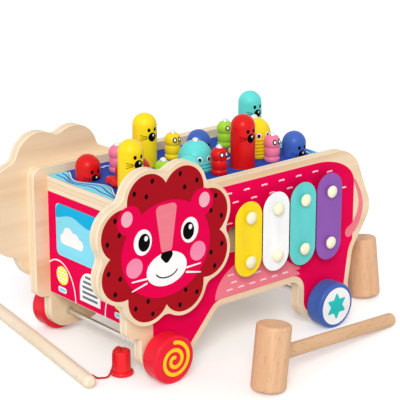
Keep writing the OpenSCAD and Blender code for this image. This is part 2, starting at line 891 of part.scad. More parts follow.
// A tube fills the pivot rod between each rocker and its neighbours
module rocker_spacers() {
    color("#e8e4da") for (i = columns) {
        before = i == 0 ? -half_l + board_t : worm_x(i - 1) + batten_w / 2;
        after = i == 3 ? half_l - board_t : worm_x(i) - batten_w / 2;
        for (run = [[before, column_x(i) - rocker_w / 2 - gap],
            [column_x(i) + rocker_w / 2 + gap, after]])
            translate([0, 0, pivot_z]) difference() {
                rod_x(tube_d, run[0], run[1]);
                rod_x(pivot_d + 2 * fit, run[0] - eps, run[1] + eps);
            }
    }
}

// Worms and whales

// Half profile of one body ring of radius r and height h that bulges at its middle
module ring_profile(r, h) {
    arc_r = (pow(h / 2, 2) + pow(ring_bulge, 2)) / (2 * ring_bulge);
    intersection() {
        translate([r - arc_r, h / 2]) circle(arc_r);
        square([r, h]);
    }
    square([r - ring_bulge, h]);
}

module tack() {
    dome_r = (pow(tack_d / 2, 2) + tack_h * tack_h) / (2 * tack_h);
    translate([0, 0, -tack_shank_l]) cylinder(d = tack_shank_d, h = tack_shank_l + eps);
    rotate_extrude() intersection() {
        translate([0, tack_h - dome_r]) circle(dome_r, $fn = 128);
        square([tack_d, tack_h]);
    }
}

module tack_hole() {
    translate([0, 0, -tack_shank_l - fit])
        cylinder(d = tack_shank_d + 2 * fit, h = tack_shank_l + 2 * fit);
}

// Half profile of a worm's head: a ball cut flat at its neck and at its crown
module head_profile() {
    translate([0, neck_drop]) intersection() {
        circle(d = worm_head_d);
        translate([0, -neck_drop]) square([worm_head_d, neck_drop + crown_rise]);
    }
}

module worm(i, side, tint) {
    color(tint) translate([worm_x(i), worm_y(side), deck_z + seat]) {
        difference() {
            rotate_extrude() {
                for (k = [0 : worm_rings_down - 1]) {
                    share = (k + 1) / worm_rings_down;
                    translate([0, -(k + 1) * worm_tail_h])
                        ring_profile((worm_tail_d + (worm_tip_d - worm_tail_d) * share) / 2,
                            worm_tail_h + eps);
                }
                ring_profile(worm_ring_d / 2, worm_collar_h + eps);
                translate([0, worm_collar_h]) ring_profile(worm_ring_d / 2, worm_ring_h + eps);
                translate([0, worm_collar_h + worm_ring_h]) head_profile();
            }
            translate([0, 0, worm_up_h]) tack_hole();
        }
        color(steel) translate([0, 0, worm_up_h + fit]) tack();
    }
}

module worm_green_near() {
    worm(0, -1, "#a6d933");
}

module worm_pink_far() {
    worm(0, 1, "#f585a5");
}

module worm_red_near() {
    worm(1, -1, "#d5161d");
}

module worm_yellow_far() {
    worm(1, 1, "#ffe11a");
}

module worm_pink_near() {
    worm(2, -1, "#f585a5");
}

module worm_green_far() {
    worm(2, 1, "#a6d933");
}

// Haunch and two-lobed tail of a whale, pointing along +X
module whale_haunch() {
    translate([haunch_ball_reach, 0, 0]) rotate_extrude() intersection() {
        circle(haunch_ball_r);
        square(haunch_ball_r);
    }
    rotate([0, -fluke_rise, 0]) {
        translate([0, -fluke_r / 2, 0]) cube([fluke_reach, fluke_r, fluke_t]);
        for (s = sides) translate([fluke_reach, s * fluke_spread / 2, 0]) rotate_extrude()
            turned_profile(fluke_r, fluke_t, fluke_edge_r);
    }
}

module whale(i, tint) {
    r = whale_d / 2;
    wall = whale_heights[i] - r;
    flat_z = wall + sqrt(r * r - pow(crown_d / 2, 2));
    color(tint) translate([whale_x(i), -whale_row, deck_z + seat]) {
        difference() {
            union() {
                rotate_extrude() intersection() {
                    union() {
                        square([r, wall]);
                        translate([0, wall]) circle(r);
                    }
                    square([r, flat_z]);
                }
                for (z = [rib_pitch / 2 : rib_pitch : wall]) translate([0, 0, z])
                    rotate(whale_face - rib_sweep / 2) rotate_extrude(angle = rib_sweep)
                        translate([r - rib_r / 4, 0]) circle(rib_r, $fn = 24);
                rotate(whale_tail) whale_haunch();
                translate([0, 0, -whale_peg_l]) cylinder(d = whale_peg_d, h = whale_peg_l + eps);
            }
            translate([0, 0, flat_z]) tack_hole();
        }
        color(steel) translate([0, 0, flat_z + fit]) tack();
    }
}

module whale_red() {
    whale(0, "#d5161d");
}

module whale_teal() {
    whale(1, "#6fe0d8");
}

module whale_yellow() {
    whale(2, "#ffe11a");
}

// Mallets

module lay_mallet(at, turn) {
    translate([at.x, at.y, mallet_lift]) rotate(turn) rotate([0, mallet_tilt, 0]) children();
}

module mallet_head() {
    color(beech) difference() {
        translate([0, 0, -mallet_head_l / 2]) rotate_extrude()
            turned_profile(mallet_head_d / 2, mallet_head_l, mallet_edge_r);
        rod_x(mallet_handle_d + 2 * fit, -mallet_tenon - fit, mallet_head_d);
    }
}

module mallet_handle() {
    color(beech) translate([-mallet_tenon, 0, 0]) rotate([0, 90, 0]) rotate_extrude()
        turned_profile(mallet_handle_d / 2, mallet_reach + mallet_tenon, mallet_edge_r);
}

module mallet_a_head() {
    lay_mallet(mallet_a_at, mallet_a_turn) mallet_head();
}

module mallet_a_handle() {
    lay_mallet(mallet_a_at, mallet_a_turn) mallet_handle();
}

module mallet_b_head() {
    lay_mallet(mallet_b_at, mallet_b_turn) mallet_head();
}

module mallet_b_handle() {
    lay_mallet(mallet_b_at, mallet_b_turn) mallet_handle();
}

// Fishing rod

module fishing_rod() {
    color("#f2e2c8") translate([rod_tip.x, rod_tip.y, rod_d / 2]) rotate(rod_turn) difference() {
        rotate([0, -90, 0]) rotate_extrude() turned_profile(rod_d / 2, rod_l, rod_edge_r);
        translate([-rod_hole_from_tip, 0, 0]) rod_y(string_d + 2 * gap, -rod_d, rod_d);
    }
}

function ring_frame(pts, i) =
    let (n = len(pts), t = unit(pts[min(i + 1, n - 1)] - pts[max(i - 1, 0)]))
    let (side = unit(cross(t, string_ref)), up = cross(side, t))
    [for (k = [0 : string_sides - 1]) let (a = 360 * k / string_sides)
        pts[i] + string_d / 2 * (cos(a) * side + sin(a) * up)];

module rod_string() {
    n = len(string_route);
    m = string_sides;
    rings = [for (i = [0 : n - 1]) each ring_frame(string_route, i)];
    walls = [for (i = [0 : n - 2], k = [0 : m - 1])
        let (a = i * m + k, b = i * m + (k + 1) % m)
        each [[a, b, b + m], [a, b + m, a + m]]];
    color("#e01f2a") polyhedron(rings, concat(
        [[for (k = [m - 1 : -1 : 0]) k]], walls, [[for (k = [0 : m - 1]) (n - 1) * m + k]]));
}

module magnet_bell() {
    color("#ff2028") translate([bell_at.x, bell_at.y, 0]) difference() {
        rotate_extrude() {
            turned_profile(bell_d / 2, bell_h, bell_edge_r);
            turned_profile(bell_flange_d / 2, bell_flange_h, bell_edge_r);
        }
        translate([0, 0, -eps]) cylinder(d = magnet_d + 2 * fit, h = magnet_t + gap + eps);
        translate([0, 0, bell_h - bell_flange_h])
            cylinder(d = string_d + 2 * gap, h = bell_flange_h + eps);
    }
}

module bell_magnet() {
    color(steel) translate([bell_at.x, bell_at.y, gap]) cylinder(d = magnet_d, h = magnet_t);
}

side_panel_near();
side_panel_far();
slot_backing();
front_panel();
rear_panel();
deck();
base_panel();
plaque_near();
plaque_far();
plaque_screws();
dowels();
cross_battens();
pivot_rod();
rocker_spacers();
bar_yellow();
bar_white();
bar_teal();
bar_purple();
bar_pins();
bar_spacers();
axle_bushes();
front_axle();
front_wheel_near();
front_wheel_far();
rear_axle();
rear_wheel_near();
rear_wheel_far();
rocker_1();
rocker_2();
rocker_3();
rocker_4();
mole_yellow_near();
mole_red_far();
mole_teal_near();
mole_yellow_far();
mole_red_near();
mole_blue_far();
mole_blue_near();
mole_teal_far();
worm_green_near();
worm_pink_far();
worm_red_near();
worm_yellow_far();
worm_pink_near();
worm_green_far();
whale_red();
whale_teal();
whale_yellow();
mallet_a_head();
mallet_a_handle();
mallet_b_head();
mallet_b_handle();
fishing_rod();
rod_string();
magnet_bell();
bell_magnet();
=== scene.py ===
"""Looks of the whack-a-mole push cart: finishes, printed faces, string, floor, light and camera."""

import math

import bmesh
import bpy
from mathutils import Matrix, Vector


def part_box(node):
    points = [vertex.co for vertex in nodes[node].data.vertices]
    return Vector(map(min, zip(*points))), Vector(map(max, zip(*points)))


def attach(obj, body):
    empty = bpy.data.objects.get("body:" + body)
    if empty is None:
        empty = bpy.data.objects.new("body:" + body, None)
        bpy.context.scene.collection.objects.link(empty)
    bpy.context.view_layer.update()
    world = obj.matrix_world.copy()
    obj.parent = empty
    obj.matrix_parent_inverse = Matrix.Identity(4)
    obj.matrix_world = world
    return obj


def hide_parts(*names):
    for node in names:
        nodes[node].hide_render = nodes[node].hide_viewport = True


MM = 0.001
X, Y, Z = range(3)
QUARTER_TURN = (0, 0, math.pi / 2)

# Colours as the photo shows them
INK_COLOURS = {
    "red": "#E9044E", "pink": "#F0808E", "rose": "#F58FB0", "petal": "#F4B0C0", "blush": "#FFDBE4",
    "mane": "#A9141F", "blue": "#2B4FB4", "sky": "#86E2FA", "glass": "#8CE2F8", "azure": "#1BB4E4",
    "white": "#FBFBFB", "black": "#0A0909", "grey": "#6E7A7F", "yellow": "#FFD42A", "lemon": "#FFF23C",
    "teal": "#2FC8C4",
}
PAINTS = {
    "yellow": "#FFD91C", "red": "#DB1415", "teal": "#64DBD7", "blue": "#4065BA",
    "pink": "#F27D9F", "green": "#A2D534",
}
BAR_PAINTS = {"yellow": "#FFDB14", "white": "#F8FCFC", "teal": "#62D1CE", "purple": "#8C55AE"}
WHEEL_PAINTS = {"front": "#EE1B34", "rear": "#3F63B4"}
BELL_PAINT = "#F0202A"
PIN_PAINT = "#FBF2D2"
STRING_RED = "#DE1B2A"
BUSH_TAN = "#D6BC94"
FELT_GREY = "#D6CFBF"
PLY_LIGHT = "#F2DDBF"
PLY_MID = "#EACEAB"
PLY_DARK = "#DEB98F"
EDGE_LIGHT = "#F3E1C6"
EDGE_MID = "#EFD9B8"
EDGE_DARK = "#CDA877"

# Pairs of a darker and a lighter tone
BEECH = ("#D9A673", "#EBC296")
ROD_WOOD = ("#E9D3B4", "#F3E3CC")
HANDLE_WOOD = ("#D5A87C", "#E2BB96")
HEAD_WOOD = ("#D5A57C", "#E3B791")
STEEL = ("#E2E4E6", "#EEF0F2")
FLOOR_PALE = ("#F8F8F8", "#FCFCFC")

# Camera at the photo's viewing angle, in degrees and millimetres
CAMERA_AT = (-984.66, -1166.89, 623.89)
CAMERA_AZIMUTH = -40.429
CAMERA_ELEVATION = 17.713
CAMERA_LENS = 142.64
CAMERA_SENSOR = 36

# Floor and far clip in metres; light from a pale room and one soft lamp at the upper front left
FLOOR_SIZE = 14
FAR_CLIP = 50
SKY_STRENGTH = 0.64
KEY_STRENGTH = 1.9
KEY_SOFTNESS = 24
KEY_FROM = (-0.58, -0.58, 0.57)
FLOOR_GLOW = 0.2
FLOOR_BOUNCE = "#E0E0E0"

# Plywood edges: glue lines that wander by millimetres, and fibres drawn out along the plies
PLIES = 3
PLY_SHIFT = 0.55
PLY_WANDER = 0.6
FIBRE_SCALE = 420
FIBRE_STRETCH = 24
FIBRE_SHARE = 0.7
FACE_LIMIT = 0.85

# Rounded edges, in millimetres and degrees
CUT_ROUND = 1.8
SAWN_ROUND = 0.5
BAR_ROUND = 0.7
ROUND_STEPS = 3
FLAT_ANGLE = 1
SHARP_ANGLE = 40
WELD_GAP = 0.01

# Turned pieces, in millimetres and degrees
TACK_H = 3.23
MOLE_D = 24.8
WORM_HEAD_D = 17.2
WHALE_D = 34.4
CROWN_D = 8.4
ROD_HEADING = 80
MALLET_TILT = 7.5

# Print, in millimetres: thickness of a coat of ink, bare edges, and short strokes
INK = 0.12
SIDE_MARGIN = 6.5
END_MARGIN = 0.6
DECK_MARGIN = 0.5
DASH_L = 8.0
DASH_W = 1.6
DASH_BEND = 0.3

# Route of the rod's string, in millimetres: cross hole, floor, bell's top
STRING_D = 2.0
STRING_ROUTE = [
    (-174.8, -41.9, 6.5), (-171.4, -42.5, 6.5), (-168.0, -43.1, 6.5), (-165.4, -43.6, 6.3),
    (-162.4, -44.2, 5.0), (-159.8, -44.8, 2.8), (-157.0, -45.6, 1.3), (-153.8, -47.0, 1.0),
    (-150.6, -48.8, 1.0), (-147.8, -49.8, 2.2), (-145.6, -50.0, 5.0), (-143.8, -50.0, 8.2),
    (-142.6, -50.0, 11.8), (-142.4, -50.0, 16.0), (-142.4, -50.0, 20.0), (-142.2, -50.0, 23.4),
    (-141.0, -50.0, 26.4), (-138.6, -50.0, 28.6), (-135.8, -50.0, 29.0), (-133.4, -50.0, 27.8),
    (-132.2, -50.0, 25.4), (-132.0, -50.0, 22.6),
]

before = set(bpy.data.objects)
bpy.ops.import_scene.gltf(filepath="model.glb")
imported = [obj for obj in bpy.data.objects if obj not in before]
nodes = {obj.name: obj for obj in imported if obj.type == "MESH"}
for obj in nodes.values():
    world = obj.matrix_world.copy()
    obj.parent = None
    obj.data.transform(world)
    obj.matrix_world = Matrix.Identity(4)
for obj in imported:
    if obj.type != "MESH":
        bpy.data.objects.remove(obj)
toys = [node for node in nodes if node.split("_")[0] in ("mole", "worm", "whale")]
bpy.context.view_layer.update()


def box_mm(node):
    """Lowest and highest corner of a CAD node in millimetres."""
    low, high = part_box(node)
    return low / MM, high / MM


def middle_mm(node):
    """Middle of a CAD node's box in millimetres."""
    low, high = box_mm(node)
    return (low + high) / 2


# Finishes

def channels(colour):
    """Red, green and blue of a #rrggbb colour, from 0 to 255."""
    return [int(colour[i:i + 2], 16) for i in (1, 3, 5)]


def linear(colour):
    """Linear RGBA of a #rrggbb colour."""
    shares = [c / 255 for c in channels(colour)]
    return [c / 12.92 if c <= 0.04045 else ((c + 0.055) / 1.055) ** 2.4 for c in shares] + [1.0]


def shade(colour, factor):
    """The #rrggbb colour with every channel scaled by factor."""
    return "#%02X%02X%02X" % tuple(min(255, round(c * factor)) for c in channels(colour))


class Finish:
    """A Principled material put together with short calls."""

    COAT_ROUGHNESS = 0.12
    MIX_SHARE, MIX_FIRST, MIX_SECOND, MIX_RESULT = 0, 6, 7, 2

    def __init__(self, name, roughness, metallic=0.0, coat=0.0, shine=0.5):
        self.material = bpy.data.materials.new(name)
        self.material.use_nodes = True
        self.tree = self.material.node_tree
        self.shader = self.tree.nodes["Principled BSDF"]
        self.shader.inputs["Roughness"].default_value = roughness
        self.shader.inputs["Metallic"].default_value = metallic
        self.shader.inputs["Coat Weight"].default_value = coat
        self.shader.inputs["Coat Roughness"].default_value = self.COAT_ROUGHNESS
        self.shader.inputs["Specular IOR Level"].default_value = shine
        coordinates = self.node("TexCoord")
        self.position = coordinates.outputs["Object"]
        self.normal = coordinates.outputs["Normal"]

    def node(self, kind, **inputs):
        """A new shader node; each input is a value or another node's socket."""
        made = self.tree.nodes.new("ShaderNode" + kind)
        for name, value in inputs.items():
            self.feed(made.inputs[name], value)
        return made

    def feed(self, socket, value):
        """Sets a socket to a value, or links it to another node's socket."""
        if isinstance(value, bpy.types.NodeSocket):
            self.tree.links.new(value, socket)
        else:
            socket.default_value = value

    def noise(self, scale, stretch=(1, 1, 1), turn=(0, 0, 0), detail=3.0):
        """Noise from 0 to 1, drawn out by stretch along axes that are turned by turn."""
        place = self.node("Mapping", Vector=self.position, Rotation=turn, Scale=stretch)
        place.vector_type = "TEXTURE"
        made = self.node("TexNoise", Vector=place.outputs["Vector"], Scale=scale, Detail=detail)
        return made.outputs["Fac"]

    def ramp(self, share, *stops):
        """Colour along stops of (share, colour)."""
        made = self.node("ValToRGB", Fac=share)
        points = made.color_ramp.elements
        while len(points) < len(stops):
            points.new(0.5)
        for point, (place, colour) in zip(points, stops):
            point.position = place
            point.color = linear(colour)
        return made.outputs["Color"]

    def math(self, operation, *values):
        """Result of a Math node on values or sockets."""
        made = self.node("Math")
        made.operation = operation
        for socket, value in zip(made.inputs, values):
            self.feed(socket, value)
        return made.outputs[0]

    def mix(self, share, first, second):
        """Colour from first to second by share."""
        made = self.node("Mix")
        made.data_type = "RGBA"
        self.feed(made.inputs[self.MIX_SHARE], share)
        self.feed(made.inputs[self.MIX_FIRST], first)
        self.feed(made.inputs[self.MIX_SECOND], second)
        return made.outputs[self.MIX_RESULT]

    def axis(self, vector, index):
        """One coordinate of a vector socket."""
        return self.node("SeparateXYZ", Vector=vector).outputs[index]

    def colour(self, value):
        """Sets the base colour."""
        self.feed(self.shader.inputs["Base Color"], value)

    def uneven_gloss(self, share, low, high):
        """Roughness that follows share between low and high."""
        made = self.node("MapRange", Value=share)
        made.inputs["To Min"].default_value = low
        made.inputs["To Max"].default_value = high
        self.feed(self.shader.inputs["Roughness"], made.outputs[0])

    def bump(self, height, depth):
        """Relief that follows height, depth millimetres deep."""
        made = self.node("Bump", Height=height, Distance=depth * MM, Strength=1.0)
        self.feed(self.shader.inputs["Normal"], made.outputs["Normal"])


def plywood(name, board, axis, turn=(0, 0, 0)):
    """Birch plywood: veneer grain on the board's faces across axis, broad plies on all other edges."""
    f = Finish(name, 0.55, coat=0.05, shine=0.2)
    grain = f.noise(60, stretch=(16, 1.4, 1), turn=turn, detail=6)
    face = f.ramp(grain, (0.22, PLY_DARK), (0.46, PLY_MID), (0.75, PLY_LIGHT))
    low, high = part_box(board)
    start = min(abs(low[axis]), abs(high[axis]))
    ply = (high[axis] - low[axis]) / PLIES
    depth = f.math("ABSOLUTE", f.axis(f.position, axis))
    wander = f.math("MULTIPLY", f.noise(25, detail=2), PLY_WANDER * MM)
    layer = f.math("DIVIDE", f.math("SUBTRACT", f.math("ADD", depth, wander), start), ply)
    wave = f.math("PINGPONG", f.math("SUBTRACT", layer, PLY_SHIFT), 1.0)
    along = [FIBRE_STRETCH] * 3
    along[axis] = 1
    fibre = f.math("MULTIPLY", f.noise(FIBRE_SCALE, stretch=along), FIBRE_SHARE)
    share = f.math("SUBTRACT", f.math("ADD", wave, fibre), FIBRE_SHARE / 2)
    edge = f.ramp(share, (0.4, EDGE_LIGHT), (0.49, EDGE_DARK), (0.58, EDGE_MID))
    facing = f.math("ABSOLUTE", f.axis(f.normal, axis))
    f.colour(f.mix(f.math("GREATER_THAN", facing, FACE_LIMIT), edge, face))
    f.uneven_gloss(grain, 0.42, 0.6)
    f.bump(f.math("ADD", grain, fibre), 0.08)
    return f.material


def turned_wood(name, tones, turn=(0, 0, 0), flecks=0.4):
    """Bare turned wood with grain and short flecks along its own X axis, turned by turn."""
    dark, light = tones
    f = Finish(name, 0.55, shine=0.25)
    grain = f.noise(120, stretch=(14, 1, 1), turn=turn, detail=5)
    fleck = f.noise(900, stretch=(9, 1, 1), turn=turn, detail=2)
    body = f.ramp(grain, (0.3, dark), (0.65, light))
    marks = f.math("GREATER_THAN", fleck, 0.64)
    f.colour(f.mix(f.math("MULTIPLY", marks, flecks), body, linear(shade(dark, 0.72))))
    f.uneven_gloss(grain, 0.45, 0.62)
    f.bump(f.math("ADD", grain, fleck), 0.1)
    return f.material


def lacquer(name, colour, roughness=0.32, coat=0.06):
    """Sprayed lacquer: faint mottling and orange peel."""
    f = Finish(name, roughness, coat=coat, shine=0.15)
    mottle = f.noise(55, stretch=(1, 1, 3), detail=4)
    peel = f.noise(700, detail=2)
    f.colour(f.ramp(mottle, (0.25, shade(colour, 0.94)), (0.75, shade(colour, 1.03))))
    f.uneven_gloss(mottle, roughness * 0.85, roughness * 1.25)
    f.bump(peel, 0.04)
    return f.material


def ink(name, colour):
    """Satin print on plywood, with the veneer's grain faintly in it."""
    f = Finish(name, 0.5, shine=0.02)
    grain = f.noise(70, stretch=(14, 14, 1), detail=5)
    f.colour(f.ramp(grain, (0.25, shade(colour, 0.955)), (0.75, shade(colour, 1.02))))
    f.uneven_gloss(grain, 0.44, 0.58)
    f.bump(grain, 0.04)
    return f.material


def steel(name, turn=(0, 0, 0)):
    """Brushed steel, with the brush lines along X, turned by turn."""
    f = Finish(name, 0.24, metallic=1.0)
    brush = f.noise(180, stretch=(16, 1, 1), turn=turn, detail=2)
    f.colour(f.ramp(brush, (0.3, STEEL[0]), (0.7, STEEL[1])))
    f.uneven_gloss(brush, 0.2, 0.3)
    return f.material


def moulded(name, colour, roughness):
    """Moulded plastic with a fine texture."""
    f = Finish(name, roughness)
    cloud = f.noise(40)
    f.colour(f.ramp(cloud, (0.3, shade(colour, 0.96)), (0.7, colour)))
    f.uneven_gloss(cloud, roughness * 0.85, roughness * 1.2)
    f.bump(f.noise(1200, detail=1), 0.03)
    return f.material


def fibres(name, colour, scale):
    """Felt or braid."""
    f = Finish(name, 0.9)
    fibre = f.noise(scale, detail=4)
    f.colour(f.ramp(fibre, (0.3, shade(colour, 0.75)), (0.7, colour)))
    f.bump(fibre, 0.2)
    return f.material


INKS = {tint: ink("ink_" + tint, colour) for tint, colour in INK_COLOURS.items()}


# CAD nodes: finish and softened edges

def dress(material, *names):
    """Gives CAD nodes their finish."""
    for node in names:
        mesh = nodes[node].data
        mesh.materials.clear()
        mesh.materials.append(material)


def soften(node, radius):
    """Rounds the sharp edges of a CAD node by radius, in millimetres."""
    made = nodes[node].modifiers
    weld = made.new("weld", "WELD")
    weld.merge_threshold = WELD_GAP * MM
    flatten = made.new("flatten", "DECIMATE")
    flatten.decimate_type = "DISSOLVE"
    flatten.angle_limit = math.radians(FLAT_ANGLE)
    bevel = made.new("round", "BEVEL")
    bevel.width = radius * MM
    bevel.segments = ROUND_STEPS
    bevel.limit_method = "ANGLE"
    bevel.angle_limit = math.radians(SHARP_ANGLE)
    shading = made.new("shading", "WEIGHTED_NORMAL")
    shading.keep_sharp = True


def dress_boards():
    """Plywood boards: cut outlines are well rounded, sawn edges a little."""
    side = plywood("plywood_side", "side_panel_near", Y)
    base = plywood("plywood_base", "base_panel", Z)
    cut = {"side_panel": side, "plaque": plywood("plywood_plaque", "plaque_near", Y)}
    sawn = {
        "deck": plywood("plywood_deck", "deck", Z),
        "base_panel": base,
        "front_panel": plywood("plywood_front", "front_panel", X, QUARTER_TURN),
        "rear_panel": plywood("plywood_rear", "rear_panel", X, QUARTER_TURN),
    }
    for board, finish in cut.items():
        for end in ("_near", "_far"):
            dress(finish, board + end)
            soften(board + end, CUT_ROUND)
    for board, finish in sawn.items():
        dress(finish, board)
        soften(board, SAWN_ROUND)
    dress(side, "slot_backing")
    dress(base, "cross_battens")


def dress_fittings():
    """Rocker gear, axles, wheels and sound bars."""
    dress(turned_wood("beech", BEECH), "dowels", "rocker_1", "rocker_2", "rocker_3", "rocker_4")
    dress(steel("bright_steel"), "plaque_screws", "pivot_rod", "bell_magnet")
    dress(steel("axle_steel", QUARTER_TURN), "front_axle", "rear_axle")
    dress(moulded("bush_plastic", BUSH_TAN, roughness=0.45), "rocker_spacers", "axle_bushes")
    dress(fibres("felt", FELT_GREY, scale=1500), "bar_spacers")
    dress(lacquer("pin_paint", PIN_PAINT, roughness=0.4), "bar_pins")
    for tint, colour in BAR_PAINTS.items():
        dress(lacquer("bar_" + tint, colour, roughness=0.36), "bar_" + tint)
        soften("bar_" + tint, BAR_ROUND)
    for end, colour in WHEEL_PAINTS.items():
        dress(lacquer("wheel_" + end, colour), end + "_wheel_near", end + "_wheel_far")


def dress_toys():
    """Lacquered moles, worms and whales, the last two with a steel tack on top."""
    paints = {tint: lacquer("paint_" + tint, colour) for tint, colour in PAINTS.items()}
    tack_steel = steel("tack_steel")
    for node in toys:
        kind, tint = node.split("_")[:2]
        dress(paints[tint], node)
        if kind == "mole":
            continue
        mesh = nodes[node].data
        mesh.materials.append(tack_steel)
        tack_z = box_mm(node)[1].z - TACK_H
        for face in mesh.polygons:
            face.material_index = int(face.center.z / MM > tack_z)


def dress_loose():
    """The fishing rod, its bell and the mallets, with the grain along each piece."""
    rod_turn = (0, 0, math.radians(ROD_HEADING))
    dress(turned_wood("rod_wood", ROD_WOOD, rod_turn, flecks=0.15), "fishing_rod")
    dress(lacquer("bell_paint", BELL_PAINT, roughness=0.25, coat=0.25), "magnet_bell")
    for name in ("mallet_a", "mallet_b"):
        head, handle = name + "_head", name + "_handle"
        reach = middle_mm(handle) - middle_mm(head)
        heading = math.atan2(reach.y, reach.x)
        along = (0, math.radians(MALLET_TILT), heading)
        upright = (0, math.radians(MALLET_TILT - 90), heading)
        dress(turned_wood(handle, HANDLE_WOOD, along), handle)
        dress(turned_wood(head, HEAD_WOOD, upright), head)


# Outlines in millimetres

def circle(u, v, radius, tall=None, steps=40):
    """Closed loop of a circle, or of an ellipse where tall is its upright radius."""
    tall = radius if tall is None else tall
    turns = [2 * math.pi * i / steps for i in range(steps)]
    return [(u + radius * math.cos(t), v + tall * math.sin(t)) for t in turns]


def bow(u, v, wide, tall, start, end, steps=24):
    """Open arc of an ellipse about (u, v), from start to end degrees clockwise from straight up."""
    turns = [math.radians(start + (end - start) * i / steps) for i in range(steps + 1)]
    return [(u + wide * math.sin(t), v + tall * math.cos(t)) for t in turns]


def rectangle(left, low, right, high):
    """Corners of an upright rectangle."""
    return [(left, low), (right, low), (right, high), (left, high)]


def rounded(corners, radius, steps=6):
    """Closed loop through corners, each rounded by radius, or less on a short side."""
    side_share = 1 / 2.05
    loop = []
    count = len(corners)
    for i, corner in enumerate(corners):
        here = Vector(corner)
        before = Vector(corners[i - 1]) - here
        after = Vector(corners[(i + 1) % count]) - here
        half = before.angle(after) / 2
        reach = min(radius / math.tan(half), before.length * side_share, after.length * side_share)
        size = reach * math.tan(half)
        middle = here + (before.normalized() + after.normalized()).normalized() * (size / math.sin(half))
        start = here + before.normalized() * reach - middle
        end = here + after.normalized() * reach - middle
        sweep = start.angle_signed(end)
        for k in range(steps + 1):
            arm = start.copy()
            arm.rotate(Matrix.Rotation(-sweep * k / steps, 2))
            loop.append(tuple(middle + arm))
    return loop


def ribbon(points, width, taper=1.0, end_steps=6):
    """Closed loop round a line of points; its width shrinks to taper times at the far end."""
    line = [Vector(p) for p in points]
    left, right = [], []
    for i, here in enumerate(line):
        along = (line[min(i + 1, len(line) - 1)] - line[max(i - 1, 0)]).normalized()
        half = width / 2 * (1 + (taper - 1) * i / (len(line) - 1))
        out = Vector((-along.y, along.x)) * half
        left.append(tuple(here + out))
        right.append(tuple(here - out))
    ends = []
    for at, towards, size in ((line[-1], line[-1] - line[-2], width * taper / 2),
                              (line[0], line[0] - line[1], width / 2)):
        lean = math.atan2(towards.y, towards.x)
        turns = [lean + math.pi / 2 - math.pi * k / end_steps for k in range(1, end_steps)]
        ends.append([(at.x + size * math.cos(t), at.y + size * math.sin(t)) for t in turns])
    return left + ends[0] + right[::-1] + ends[1]


def smooth_line(points, steps=6):
    """Open smooth line through points."""
    line = [Vector(p) for p in points]
    made = []
    for i in range(len(line) - 1):
        a, b = line[max(i - 1, 0)], line[i]
        c, d = line[i + 1], line[min(i + 2, len(line) - 1)]
        for k in range(steps):
            t = k / steps
            made.append(0.5 * (2 * b + (c - a) * t + (2 * a - 5 * b + 4 * c - d) * t ** 2
                               + (3 * b - a - 3 * c + d) * t ** 3))
    return made + [line[-1]]


def dense(loop, step=2.0):
    """The closed loop with points no further apart than step."""
    made = []
    for i, end in enumerate(loop):
        start = Vector(loop[i - 1])
        run = Vector(end) - start
        count = max(1, math.ceil(run.length / step))
        made += [tuple(start + run * (k + 1) / count) for k in range(count)]
    return made


def inset(loop, margin):
    """The closed loop moved inwards by margin."""
    sharpest = 0.3
    points = [Vector(p) for p in loop]
    area = sum(points[i - 1].cross(points[i]) for i in range(len(points)))
    inward = 1 if area > 0 else -1
    moved = []
    for i, here in enumerate(points):
        before = (here - points[i - 1]).normalized()
        after = (points[(i + 1) % len(points)] - here).normalized()
        out = (Vector((-before.y, before.x)) + Vector((-after.y, after.x))).normalized()
        lean = max(sharpest, out.dot(Vector((-before.y, before.x))))
        moved.append(tuple(here + out * (inward * margin / lean)))
    return moved


def face_loops(node, direction):
    """Outlines of the CAD node's outermost flat face along direction, the longest first."""
    same_point, same_level, same_way = 1e-6, 1e-5, 0.999
    direction = Vector(direction)
    mesh = bmesh.new()
    mesh.from_mesh(nodes[node].data)
    bmesh.ops.remove_doubles(mesh, verts=mesh.verts, dist=same_point)
    flat = [f for f in mesh.faces if f.normal.dot(direction) > same_way]
    level = max(f.calc_center_median().dot(direction) for f in flat)
    flat = {f for f in flat if level - f.calc_center_median().dot(direction) < same_level}
    rim = {e for f in flat for e in f.edges if sum(g in flat for g in e.link_faces) == 1}
    loops = []
    while rim:
        edge = rim.pop()
        first, here = edge.verts
        loop = [first, here]
        while here is not first:
            edge = next(e for e in here.link_edges if e in rim)
            rim.discard(edge)
            here = edge.other_vert(here)
            loop.append(here)
        loops.append([v.co / MM for v in loop[:-1]])
    mesh.free()
    return sorted(loops, key=lambda p: -sum((p[i] - p[i - 1]).length for i in range(len(p))))


# Printed faces

def face_frame(origin, right, up):
    """Matrix from a face's own right, up and outward millimetres to the cart's frame."""
    right, up = Vector(right), Vector(up)
    turn = Matrix((right, up, right.cross(up))).transposed().to_4x4()
    turn.translation = Vector(origin) * MM
    return turn @ Matrix.Scale(MM, 4)


def near_face(y):
    """Face at y that looks to the sound-bar side."""
    return face_frame((0, y, 0), (1, 0, 0), (0, 0, 1))


def far_face(y):
    """Face at y that looks away from the sound-bar side."""
    return face_frame((0, y, 0), (-1, 0, 0), (0, 0, 1))


